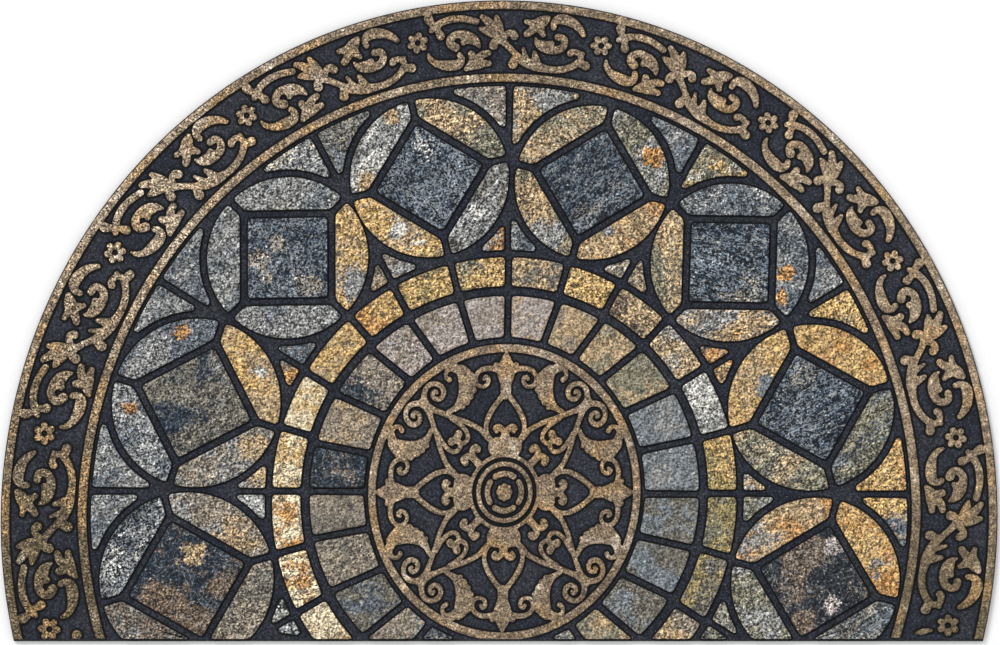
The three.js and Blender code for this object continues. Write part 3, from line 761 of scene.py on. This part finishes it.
# %% The medallion's piece
MEDALLION_DRIFT = [(-180, "dun"), (-60, "tan"), (60, "dun"), (180, "dun")]
disc_x, disc_y = disc_grid(MEDALLION_CELLS)
way = np.maximum(np.hypot(disc_x, disc_y), 1e-9)
cut_off = (MOSAIC_CENTRE[1] - RELIEF_CUT) * way / np.maximum(-disc_y, 1e-6)
outer_radius = np.minimum(MEDALLION_RY + MEDALLION_MARGIN, cut_off)
u, v, depth = snap(medallion_depth, disc_x * outer_radius, disc_y * outer_radius, 1.0, 1.0)
flat = leaned(np.stack([MOSAIC_CENTRE[0] + u * SQUEEZE, MOSAIC_CENTRE[1] + v], -1))
tint = tint_along(MEDALLION_DRIFT, np.degrees(np.arctan2(u, v)))
relief_piece("medallion", flat, depth, tint, medallion_gold)

# %% [markdown]
# ## From an outline to a stone
#
# Each stone is a low block with worn corners. Its outline is worked out as the paver laid it,
# cut off at the straight edge, and rounded by averaging along its length. Loops inside and
# outside the outline then give the foot in painted shade, the flank and the top, all in one grid.
# An edge bevelled by a modifier would fold over itself in the thin tips, so the rounding comes first.

# %% Outlines of stones
FINE_POINTS = 720


def evened(outline, count):
    """The closed line through these points, with evenly spaced points."""
    closed = np.concatenate([outline, outline[:1]])
    length = np.append(0, np.cumsum(np.hypot(*np.diff(closed, axis=0).T)))
    at = np.arange(count) / count * length[-1]
    return np.stack([np.interp(at, length, closed[:, k]) for k in (0, 1)], -1)


def worn(outline, wear):
    """The outline with rounded corners: each point becomes the mean of its neighbours, twice."""
    even = evened(outline, FINE_POINTS)
    step = np.hypot(*np.diff(even, axis=0).T).mean()
    width = max(int(wear / step), 1)
    near = np.arange(-width, width + 1)
    for _ in range(2):
        even = even[(np.arange(FINE_POINTS)[:, None] + near) % FINE_POINTS].mean(1)
    return even


def cut_at_edge(outline):
    """What lies above the cut edge: its run of points, closed by the two places where it crosses."""
    above = outline[:, 1] > RELIEF_CUT
    if above.all():
        return outline
    start = np.flatnonzero(above & ~np.roll(above, 1))[0]
    outline, above = np.roll(outline, -start, 0), np.roll(above, -start)
    count = int(above.sum())
    run = outline[:count]
    ends = []
    for inside, outside in ((run[0], outline[-1]), (run[-1], outline[count % len(outline)])):
        share = (inside[1] - RELIEF_CUT) / (inside[1] - outside[1])
        ends.append(inside + share * (outside - inside))
    return np.concatenate([ends[:1], run, ends[1:]])


def anticlockwise(outline):
    return outline if flat_area(outline) > 0 else outline[::-1]


print("outlines of stones are averaged over", FINE_POINTS, "points")

# %% Loops of stones
FOOT_WIDTH, LEAST_STONE, LEAST_RISE = 2.0, 90.0, 2.0
RIM_PROFILE = np.array([[-FOOT_WIDTH, ROOT], [-FOOT_WIDTH, GROUND - 0.05], [-0.6, GROUND + 0.12],
                        [-0.05, GROUND + 0.3], [0.3, STONE_TOP - 0.55], [0.7, STONE_TOP - 0.18],
                        [1.6, STONE_TOP]])


def stone_loops(outline, around, rings):
    """Loops of one stone: the rim's profile by inset along the normals, then rings to the middle."""
    outline = evened(outline, around)
    way = np.roll(outline, -1, 0) - np.roll(outline, 1, 0)
    inwards = np.stack([-way[:, 1], way[:, 0]], -1) / np.hypot(*way.T)[:, None]
    middle = outline.mean(0)
    loops = outline + RIM_PROFILE[:, 0, None, None] * inwards
    share = np.linspace(1, 0.04, rings + 1)[1:, None, None]
    inner = middle + (loops[-1] - middle) * share
    depth = np.concatenate([np.repeat(RIM_PROFILE[:, :1], around, 1),
                            RIM_PROFILE[-1, 0] + np.linalg.norm(loops[-1] - inner, axis=-1)])
    height = np.concatenate([RIM_PROFILE[:, 1], np.full(rings, STONE_TOP)])
    height = np.broadcast_to(height[:, None], depth.shape)
    return np.dstack([np.concatenate([loops, inner]), height]), depth


print("a stone of less than", LEAST_STONE, "square millimetres isn't laid")

# %% [markdown]
# ## The stones' finish
#
# The stones are a print of natural slate on flock. Each has a main colour, a second one in ragged
# clouds and a third in spots. Over these lie ledges that look lit from the upper left, dark
# cracks, pale veins, pits and white flecks, and on the darkest slate bluish ripples. Each stone
# could have a material of its own, but one finish serves them all: the mesh stores the three
# colours, how much of each shows where, and how rough the slate is.

# %% Slate on flock
RIPPLE, PIT, VEIN, FLECK = (138, 149, 160), (22, 26, 33), (205, 205, 198), (238, 234, 222)


def paint_stone(field):
    place = field.place()
    local = field.value_of("local")
    edge = field.value_of("edge", "Fac")
    shares = field.value_of("shares")
    second_share, third_share, roughness = (
        field.node("ShaderNodeSeparateXYZ", {}, {0: shares}, out=k) for k in range(3))
    fine = place.moved((60.0, 20.0, 5.0)).noise(2.6, 2.0, 0.6)
    clouds = local.noise(26.0, 5.0, 0.6)
    spots = local.moved((90.0, 30.0, 0.0)).noise(14.0, 6.0, 0.72)
    second = (clouds + 0.4 * fine - 0.2 + second_share).step(0.44, 0.57)
    third = (spots + 0.3 * fine - 0.15 + third_share).step(0.47, 0.57)
    stone = field.value_of("first_tint", "Color").blend(field.value_of("second_tint", "Color"), second)
    stone = stone.blend(field.value_of("third_tint", "Color"), third)
    ledges = local.lit(9.0, 5.0, 0.62, 1.1)
    lit_grains = place.lit(2.0, 1.0, 0.6, 0.7)
    salt = place.moved((21.0, 5.0, 3.0)).noise(2.1, 1.5, 0.7) - 0.5
    # painted light and shade: ledges and grains lighter where they face the upper left and darker where they
    # face away; the salt is random grain
    stone = stone.stops(roughness * (8.5 * ledges + 4.0 * lit_grains + 6.0 * salt - 0.1))
    ripples = local.moved((11.0, 33.0, 2.0)).noise(7.0, 2.0, 0.6, 1.0).line(0.06)
    stone = stone.blend(colour(*RIPPLE), ripples * (roughness - 0.95).step(0.0, 0.3) * 0.75)
    cracks = local.moved((50.0, 50.0, 9.0)).noise(14.0, 3.0, 0.6, 1.2).line(0.024)
    stone = stone.stops(-2.0 * cracks * roughness)
    veins = local.moved((20.0, 80.0, 4.0)).noise(20.0, 4.0, 0.65, 1.0).line(0.018)
    stone = stone.blend(colour(*VEIN), veins * roughness * 0.35)
    stone = stone.blend(colour(*PIT), salt.step(-0.03, -0.07) * roughness * 0.8)
    stone = stone.blend(colour(*FLECK), salt.step(0.17, 0.23) * roughness * 0.5)
    # the ground round the stone, with its painted shade beside the edge
    shade = ground_shade(place, edge).blend(stone, edge.step(0.05, 0.5))
    return shade, 0.3 * fine + 1.4 * ledges


stone_flock = new_finish("slate print on flock", paint_stone, 0.92, 0.08)

# %% The stones' colours
# a recipe names the three colours, then gives the percents of the second and the third, how rough
# the slate is, and the angle of its streaks; a patch is a place, a radius, a layer and an amount
STONE_COLOURS = {
    "black": (34, 38, 44), "navy": (44, 54, 65), "slate": (92, 100, 108), "blue": (116, 123, 128),
    "grey": (140, 140, 138), "pale": (190, 188, 180), "moss": (128, 124, 104), "olive": (148, 132, 86),
    "drab": (114, 109, 98), "tan": (178, 153, 117), "gold": (196, 162, 106), "amber": (188, 140, 84),
    "rust": (170, 116, 74), "cream": (222, 206, 172), "taupe": (144, 132, 116), "brown": (110, 94, 78),
    "lilac": (166, 155, 148),
}
SHARE_SPAN, STREAK, GRAIN = 0.5, 3.0, 0.9


def stone_values(depth, loops, recipe, patches, seed):
    """What the finish reads: three colours, how much of each shows where, and seeded coordinates."""
    words = recipe.split()
    first, second, third = (linear(*STONE_COLOURS[name]) for name in words[:3])
    shares = np.array([(float(percent) / 100 - 0.5) * SHARE_SPAN for percent in words[3:5]])
    rough = float(words[5]) / 100 if len(words) > 5 else GRAIN
    grain = np.radians(float(words[6])) if len(words) > 6 else 0.0
    stretch = STREAK if len(words) > 6 else 1.0
    flat = loops[..., :2]
    middle = flat[0].mean(0)
    shares = np.broadcast_to(np.append(shares, rough), (*depth.shape, 3)).copy()
    for right, up, radius, layer, amount in patches:
        away = np.hypot(flat[..., 0] - middle[0] - right, flat[..., 1] - middle[1] - up)
        shares[..., layer - 2] += amount * np.exp(-((away / radius) ** 2))
    right, up = (flat - middle)[..., 0], (flat - middle)[..., 1]
    along = (right * np.sin(grain) + up * np.cos(grain)) / stretch
    over = right * np.cos(grain) - up * np.sin(grain)
    local = np.dstack([over, along, np.zeros(depth.shape)]) + seed * np.array([137.0, 71.0, 13.0])
    full = np.ones((*depth.shape, 1))
    return {"edge": depth, "shares": shares, "local": local, "first_tint": first * full,
            "second_tint": second * full, "third_tint": third * full}


def lay_stones(name, stones, around, rings):
    """One piece of many stones, each from its outline, its colours' recipe and its patches."""
    laid, values = [], []
    for seed, (outline, wear, recipe, patches) in enumerate(stones):
        outline = anticlockwise(outline)
        if outline[:, 1].max() < RELIEF_CUT + LEAST_RISE:
            continue
        outline = worn(cut_at_edge(outline), wear)
        if flat_area(outline) < LEAST_STONE:
            continue
        loops, depth = stone_loops(outline, around, rings)
        laid.append(loops)
        values.append(stone_values(depth, loops, recipe, patches, seed))
    faces = nested(len(laid), *laid[0].shape[:2])
    merged = {}
    for key in values[0]:
        column = np.stack([one[key] for one in values])
        merged[key] = column.ravel() if key == "edge" else column.reshape(-1, 3)
    return make_piece(name, np.stack(laid).reshape(-1, 3), faces, merged, stone_flock)


print(len(STONE_COLOURS), "colours of slate")

# %% [markdown]
# ## The rounds of paving
#
# Each round is a square stone set on its corner between four lens stones, and the rounds stand
# side by side along the border in mirrored pairs. Each outline could be drawn where it lies, but
# in a round's own frame it is only straight sides and an arc, so it is worked out there, and the
# frame is then turned and moved to its place.

# %% Squares and lenses
# a row for each round, left and right in turn: the angle and the reach of its middle from the
# mosaic's centre, the angle it is turned to, its radius and its square's side
ROUNDS = [
    (-14.2, 308.5, -14.4, 75.6, 73.6), (15.0, 305.0, 13.8, 73.4, 72.8),
    (-43.2, 306.1, -46.0, 76.8, 75.8), (44.0, 303.8, 45.9, 75.2, 74.4),
    (-73.9, 306.5, -72.6, 80.3, 77.4), (74.5, 301.5, 73.8, 79.0, 74.4),
    (-105.4, 312.3, -105.6, 82.9, 80.7), (106.0, 309.3, 103.7, 80.2, 76.8),
]
SQUARE_JOINT, LENS_JOINT, RING_JOINT, INNER_SIDE = 7.6, 7.0, 4.0, -8.5
SQUARE_WEAR, LENS_WEAR, WEDGE_WEAR, SPANDREL_WEAR = 2.6, 2.6, 2.6, 2.4


def turned(points, angle):
    """Points turned clockwise around the origin."""
    turn = np.radians(angle)
    x, y = points[..., 0], points[..., 1]
    return np.stack([x * np.cos(turn) + y * np.sin(turn), y * np.cos(turn) - x * np.sin(turn)], -1)


def on_round(points, laid_round):
    """Points around a round's middle, turned with it and moved to its place in the mosaic."""
    angle, reach, turn = laid_round[:3]
    middle = on_ellipse(MOSAIC_CENTRE, (reach, reach), angle)
    return inside_ring(leaned(turned(points, turn) + middle))


def inside_ring(points):
    """Points outside the joint along the border's inner ring, drawn in to it along their rays."""
    x, y = (points - ARCH_CENTRE).T
    joint = on_band(np.degrees(np.arctan2(x, y)), np.full(len(points), INNER_SIDE - RING_JOINT)) - ARCH_CENTRE
    share = np.minimum(np.hypot(*joint.T) / np.hypot(x, y), 1)
    return ARCH_CENTRE + (points - ARCH_CENTRE) * share[:, None]


def lens_outline(radius, square_side, quarter):
    """A chord along the square, closed by the round's own arc, turned to its quarter."""
    chord = square_side / 2 + SQUARE_JOINT
    slack = LENS_JOINT / np.sqrt(2)
    end = (slack + np.sqrt(2 * radius**2 - slack**2)) / 2
    limit = np.degrees(np.arctan2(end - slack, end))
    arc = on_ellipse((0, 0), (radius, radius), np.linspace(limit, -limit, 60))
    points = np.concatenate([[[slack - chord, chord], [chord - slack, chord]], arc])
    return turned(points, -(quarter + 0.5) * 90)


# a row for each round, left and right in turn
SQUARE_RECIPES = [
    ("navy slate pale 41 12 125", [(-4, 28, 15, 3, 0.3), (26, 6, 12, 2, 0.3), (0, -30, 20, 2, 0.15)]),
    ("navy slate drab 46 22 115 40", [(0, -28, 22, 3, 0.15)]),
    ("navy slate taupe 44 14 120", [(-26, -2, 9, 3, 0.6), (-10, 13, 8, 3, 0.5), (-18, -20, 5, 3, 0.5),
                                    (20, -28, 14, 3, 0.4), (0, -38, 12, 2, 0.4)]),
    ("navy slate drab 49 27 135 -80", [(14, -28, 20, 3, 0.2)]),
    ("drab navy grey 36 16 95", [(-26, -16, 14, 2, 0.35), (8, 34, 10, 2, 0.3), (22, 38, 7, 3, 0.5)]),
    ("navy slate drab 44 17 130 60", [(-5, 32, 16, 3, 0.35)]),
    ("navy brown tan 31 9 95", [(8, 26, 12, 3, 0.5), (-25, -20, 17, 2, 0.45), (30, -8, 12, 2, 0.4),
                                 (5, -38, 14, 2, 0.45)]),
    ("black brown lilac 24 10 104", [(-14, 26, 17, 2, 0.9), (16, 33, 8, 3, 0.7), (16, -22, 9, 3, 0.5),
                                     (-12, -37, 9, 2, 0.9)]),
]
# for each round, its four lenses anticlockwise from the one left of its corner that points outwards
LENS_RECIPES = [
    [("grey pale tan 48 14 95 20", [(12, 30, 9, 3, 0.4), (-8, -34, 16, 3, 0.35)]),
     ("tan gold pale 48 28 80 60", [(-30, 14, 20, 2, 0.3), (0, 0, 16, 3, 0.15)]),
     ("drab grey pale 44 16 105 30", [(-8, -14, 18, 2, 0.4), (-4, -4, 9, 3, 0.35)]),
     ("moss tan black 45 22 100 60", [(-22, 14, 20, 2, 0.25), (28, -18, 20, 3, 0.1)])],
    [("moss tan grey 45 28 90 -60", [(-26, -14, 18, 2, 0.2)]),
     ("moss tan grey 48 28 95 20", [(-4, 16, 18, 2, 0.2), (6, -20, 18, 3, 0.3)]),
     ("tan amber grey 44 18 80 -50", [(-12, 2, 8, 3, 0.3)]),
     ("grey moss amber 46 16 95 20", [(10, -6, 9, 3, 0.4), (4, 26, 16, 2, 0.3)])],
    [("grey slate pale 40 18 90 40", []), ("grey slate pale 40 24 95", []),
     ("tan gold grey 48 15 80", [(6, -24, 16, 3, 0.4), (2, -38, 6, 2, 0.4)]),
     ("grey slate moss 42 22 95", [(-10, -14, 16, 3, 0.2)])],
    [("slate grey black 46 24 105", []), ("moss tan amber 46 22 85 -20", [(4, 28, 20, 2, 0.3)]),
     ("grey tan amber 42 28 95 80", [(18, -4, 24, 2, 0.3), (12, -6, 12, 3, 0.15)]),
     ("grey slate amber 48 10 95", [(-4, -9, 8, 3, 0.5), (-8, -33, 6, 3, 0.6)])],
    [("grey slate amber 42 8 110", [(-8, 22, 8, 3, 0.5)]),
     ("taupe grey tan 45 18 90", [(28, 14, 18, 3, 0.3)]),
     ("gold tan pale 46 18 75", [(6, 2, 8, 3, 0.3), (4, -30, 18, 2, 0.25)]),
     ("slate grey amber 44 12 100", [(14, 14, 9, 3, 0.45), (-8, -6, 12, 2, 0.3)])],
    [("gold amber slate 34 20 70", [(-26, -14, 20, 2, 0.2)]),
     ("gold tan blue 46 18 75", [(10, -8, 8, 3, 0.5)]),
     ("moss tan slate 46 24 100 60", []), ("moss slate olive 46 22 95 50", [])],
    [("drab brown slate 46 24 105", []), ("taupe drab grey 45 24 90", []),
     ("taupe grey tan 45 18 90", [(14, -14, 22, 3, 0.3)]),
     ("grey black pale 52 24 140", [(-6, -8, 22, 3, 0.15)])],
    [("gold amber grey 40 20 75", [(6, -16, 14, 3, 0.2), (10, -30, 14, 2, 0.3)]),
     ("tan amber grey 46 25 80", [(-30, -14, 24, 3, 0.2)]),
     ("moss grey black 44 22 100", []), ("drab slate black 44 26 105 50", [])],
]
squares, lenses = [], []
diamond = np.array([[1, 0], [0, 1], [-1, 0], [0, -1]]) / np.sqrt(2)
for laid_round, square, row in zip(ROUNDS, SQUARE_RECIPES, LENS_RECIPES):
    radius, side = laid_round[3:]
    squares.append((on_round(diamond * side, laid_round), SQUARE_WEAR, *square))
    for quarter, lens in enumerate(row):
        lenses.append((on_round(lens_outline(radius, side, quarter), laid_round), LENS_WEAR, *lens))
stone_pieces = [
    lay_stones("square_stones", squares, around=160, rings=22),
    lay_stones("lens_stones", lenses, around=112, rings=12),
]

# %% [markdown]
# ## Three-cornered and wedge stones
#
# Between two rounds a three-cornered stone fills the gap at the border, and a smaller one the gap
# at the wedge stones. They could be cut out of a plate with booleans, which leave long thin faces.
# Here each is found with rays from the mosaic's centre, between the joint round a round and the
# joint along a ring. The wedges lie between two ovals and two radial joints.

# %% Three-cornered stones
ROUND_JOINT, RADIAL_JOINT = 7.2, 6.8
JOINTS = [-120.6, -89.8, -58.7, -28.8, -0.1, 28.8, 58.6, 90.3, 122.1]
LOWEST_ROUNDS = [(-135.5, 312.0, 0.0, 82.0), (137.5, 311.0, 0.0, 81.0)]
WIDEST_SPREAD, LEAST_SPREAD, THIN_TIP, BLUNT_END, RAYS = 10.0, 2.2, 4.6, 4.2, 40


def ring_reach(angle):
    """How far a ray from the mosaic's centre runs to the joint along the border's inner ring."""
    size = BORDER_RING_INSIDE - RING_JOINT
    across, up = np.sin(np.radians(angle)), np.cos(np.radians(angle))
    start = MOSAIC_CENTRE - ARCH_CENTRE
    across = across + (MOSAIC_LEAN - RING_LEAN) * up
    a = (across / size[0]) ** 2 + (up / size[1]) ** 2
    b = across * start[0] / size[0] ** 2 + up * start[1] / size[1] ** 2
    c = (start[0] / size[0]) ** 2 + (start[1] / size[1]) ** 2 - 1
    return (np.sqrt(b * b - a * c) - b) / a


def spandrel_outline(laid_round, joint, outer):
    """Rays beside a radial joint, from the joint round a round to the joint along a ring."""
    at, reach, _, radius = laid_round[:4]
    sign, hand = (1 if outer else -1), np.sign(at - joint)
    inset = np.degrees(RADIAL_JOINT / 2 / (reach + sign * 50))

    def near_side(off):
        turn = np.radians(at - joint - hand * off)
        half = np.sqrt(np.maximum((radius + ROUND_JOINT) ** 2 - (reach * np.sin(turn)) ** 2, 0))
        return reach * np.cos(turn) + sign * half

    def sides(off):
        angle = joint + hand * off
        blunt = near_side(inset + np.degrees(BLUNT_END / reach))
        near = sign * np.maximum(sign * near_side(off), sign * blunt)
        size = oval_size(OUTER_WEDGES[1], angle, RADIAL_JOINT)
        wedge_side = np.hypot(size[0] * np.sin(np.radians(angle)), size[1] * np.cos(np.radians(angle)))
        far = ring_reach(angle) if outer else wedge_side
        laid = [inside_ring(leaned(on_ellipse(MOSAIC_CENTRE, (length, length), angle)))
                for length in (near, far)]
        return *laid, np.minimum(sign * (far - near), np.hypot(*(laid[1] - laid[0]).T)) > THIN_TIP

    off = np.linspace(inset, WIDEST_SPREAD, 200)
    room = sides(off)[2]
    spread = off[room.argmin() - 1] if room[0] and not room.all() else WIDEST_SPREAD * room[0]
    if spread < LEAST_SPREAD:
        return None
    near, far, _ = sides(np.linspace(inset, spread, RAYS))
    return np.concatenate([near, far[::-1]])


# recipes by joint: left of it and right of it, at the border and then at the wedge stones
SPANDREL_RECIPES = [
    [("slate grey pale 45 25 110", "grey black pale 50 30 125"),
     ("grey slate pale 45 25", "pale black grey 40 30")],
    [("grey slate pale 45 25", "grey pale black 45 20"), ("grey slate pale 45 25", "tan grey pale 45 20")],
    [("grey slate moss 40 25", "amber slate tan 45 20"),
     ("slate grey amber 45 20", "slate grey amber 40 30")],
    [("grey cream drab 38 30 110", "taupe tan grey 45 20"),
     ("drab slate tan 45 32 110", "taupe grey tan 45 20")],
    [("taupe grey pale 45 30", "grey amber pale 45 25"), ("tan grey amber 45 22", "slate grey tan 45 25")],
    [("slate grey tan 45 20", "tan taupe pale 45 30"), ("moss gold pale 45 35", "taupe tan grey 45 20")],
    [("slate grey moss 45 15", "amber blue grey 42 25"),
     ("gold drab slate 42 16", "amber tan brown 45 20")],
    [("gold amber olive 40 18", "grey tan moss 45 20"), ("gold slate rust 46 26", "moss grey tan 45 20")],
    [("grey moss black 45 25", "moss drab black 46 30 110"),
     ("grey moss black 45 25", "moss drab black 46 30 110")],
]
spandrels = []
for joint, rows in zip(JOINTS, SPANDREL_RECIPES):
    nearest = sorted([*ROUNDS, *LOWEST_ROUNDS], key=lambda row: abs(row[0] - joint))[:2]
    for laid_round, recipes in zip(sorted(nearest), rows):
        for outer, recipe in zip((True, False), recipes):
            outline = spandrel_outline(laid_round, joint, outer)
            if outline is not None:
                spandrels.append((outline, SPANDREL_WEAR, recipe, []))
stone_pieces.append(lay_stones("three_cornered_stones", spandrels, around=72, rings=8))

# %% Wedge stones
# angles of the joints between wedges, from the lowest on the left to the lowest on the right
OUTER_JOINTS = [-150.0, -135.2, -120.1, -105.0, -89.7, -74.0, -59.3, -42.2, -29.3, -14.1, 0.2, 14.9, 28.7,
                43.2, 58.2, 74.8, 90.3, 105.9, 122.4, 137.0, 151.0]
INNER_JOINTS = [-161.5, -148.6, -136.0, -119.7, -103.6, -89.7, -75.6, -60.2, -43.7, -29.7, -14.0, 0.3,
                15.3, 29.3, 43.2, 58.8, 74.5, 90.6, 106.4, 121.7, 137.0, 150.4, 160.3]


def wedge_outline(ring, first, second):
    """The stone between two ovals and two radial joints, half of each joint left free."""
    sides = []
    for oval, way in ((ring[1], 1), (ring[0], -1)):
        inset = np.degrees(RADIAL_JOINT / 2 / oval[0])
        arc = np.linspace(first + inset, second - inset, 30)[::way]
        sides.append(on_ellipse(MOSAIC_CENTRE, oval_size(oval, arc), arc))
    return leaned(np.concatenate(sides))


# clockwise from the lowest on the left
OUTER_WEDGE_RECIPES = [
    "tan grey gold 45 20 60", "cream tan pale 44 22 70", "cream amber brown 46 32 90",
    "cream amber brown 46 24 75",
    "gold cream tan 46 22 75", "cream gold pale 48 22 60", "gold tan cream 45 22 65",
    "gold amber brown 46 24 75",
    "gold olive drab 45 22 85", "gold moss slate 45 26 95", "tan drab gold 46 20 85",
    "gold olive black 42 26 90", "tan brown moss 46 22 90",
    "tan grey brown 46 30 90", "pale grey cream 45 22 85", "olive gold moss 45 26 85",
    "olive moss gold 46 20 75", "olive drab gold 46 18 80", "tan taupe grey 46 24 80",
    "grey pale tan 45 24 80",
]
INNER_WEDGE_RECIPES = [
    "slate drab black 45 20 90",
    "taupe grey amber 45 22 65", "drab slate brown 46 22 75", "taupe drab navy 45 28 75",
    "taupe drab slate 45 20 60",
    "navy taupe black 40 20 80", "taupe tan navy 45 22 65", "taupe navy lilac 44 30 85",
    "lilac taupe slate 45 26 70", "lilac taupe tan 45 22 60", "lilac taupe pale 45 20 50",
    "lilac tan taupe 45 22 50", "tan taupe moss 45 20 55", "tan moss grey 45 20 60",
    "moss tan grey 45 32 60",
    "blue grey slate 45 22 60", "blue grey drab 45 22 60", "blue drab grey 45 22 60",
    "blue drab slate 45 26 60",
    "drab blue tan 46 22 70", "moss tan grey 45 20 65",
    "tan grey moss 45 20 70",
]
for name, ring, joints, recipes in (
    ("outer_wedge_stones", OUTER_WEDGES, OUTER_JOINTS, OUTER_WEDGE_RECIPES),
    ("inner_wedge_stones", INNER_WEDGES, INNER_JOINTS, INNER_WEDGE_RECIPES),
):
    wedges = [(wedge_outline(ring, *pair), WEDGE_WEAR, recipe, [])
              for *pair, recipe in zip(joints, joints[1:], recipes)]
    stone_pieces.append(lay_stones(name, wedges, around=80, rings=12))

# %% [markdown]
# ## The mat as one sheet
#
# The mat is moulded flat and lies flat, so its flat size is the size it lies at. Everything
# printed on the slab goes with it.

# %% The sheet
print("declared a sheet of", WIDTH, "by", DEPTH, "mm")

# %% [markdown]
# ## Floor, light and camera
#
# The photograph looks straight down at the mat on white. A pale floor under an even white sky
# gives that, and one soft sun from the top left leaves a thin light on the upper left flanks.

# %% Floor and light
FLOOR_SIZE, FLOOR_LINES, FLOOR_WHITE, FLOOR_PALE = 6.0, 9, (250, 250, 250), (246, 246, 246)
SKY_STRENGTH, SUN_STRENGTH, SUN_WIDTH, SUN_WAY = 0.82, 1.3, 0.35, (0.75, -0.85, -1.2)


def paint_floor(field):
    place = field.place()
    shade = place.plain(colour(*FLOOR_WHITE)).blend(colour(*FLOOR_PALE), place.noise(300.0, 2.0))
    return shade, place.noise(4.0) * 0.02


side = np.linspace(-0.5, 0.5, FLOOR_LINES) * FLOOR_SIZE / MM
floor_x, floor_y = np.meshgrid(side, side)
floor_points = np.stack([floor_x, floor_y, np.zeros_like(floor_x)], -1).reshape(-1, 3) * MM
floor_mesh = bpy.data.meshes.new("floor")
floor_number = np.arange(FLOOR_LINES * FLOOR_LINES).reshape(FLOOR_LINES, FLOOR_LINES)
floor_mesh.from_pydata(floor_points.tolist(), [], strips(floor_number).tolist())
floor_mesh.materials.append(new_finish("pale floor", paint_floor, 0.9))
floor = bpy.data.objects.new("floor", floor_mesh)
scene = bpy.context.scene
scene.collection.objects.link(floor)

sky = bpy.data.worlds.new("white sky")
scene.world = sky
sky.use_nodes = True
sky.node_tree.nodes["Background"].inputs["Color"].default_value = (1, 1, 1, 1)
sky.node_tree.nodes["Background"].inputs["Strength"].default_value = SKY_STRENGTH
sun_light = bpy.data.lights.new("soft sun", "SUN")
sun_light.energy = SUN_STRENGTH
sun_light.angle = SUN_WIDTH
sun = bpy.data.objects.new("soft sun", sun_light)
sun.rotation_mode = "QUATERNION"
sun.rotation_quaternion = Vector(SUN_WAY).to_track_quat("-Z", "Y")
scene.collection.objects.link(sun)
scene.view_settings.view_transform = "Standard"
print("the light is a sky of", SKY_STRENGTH, "and a sun of", SUN_STRENGTH)

# %% The camera
CAMERA_HEIGHT, CAMERA_X, CAMERA_Y = 7.9365, 0.00086, -0.00167
LENS, SENSOR_WIDTH, FARTHEST = 300.0, 36.0, 20.0
lens = bpy.data.cameras.new("camera")
lens.lens = LENS
lens.sensor_width = SENSOR_WIDTH
lens.clip_end = FARTHEST
camera = bpy.data.objects.new("camera", lens)
camera.location = (CAMERA_X, CAMERA_Y, CAMERA_HEIGHT)
scene.collection.objects.link(camera)
scene.camera = camera
print("the camera looks straight down from", CAMERA_HEIGHT, "m")
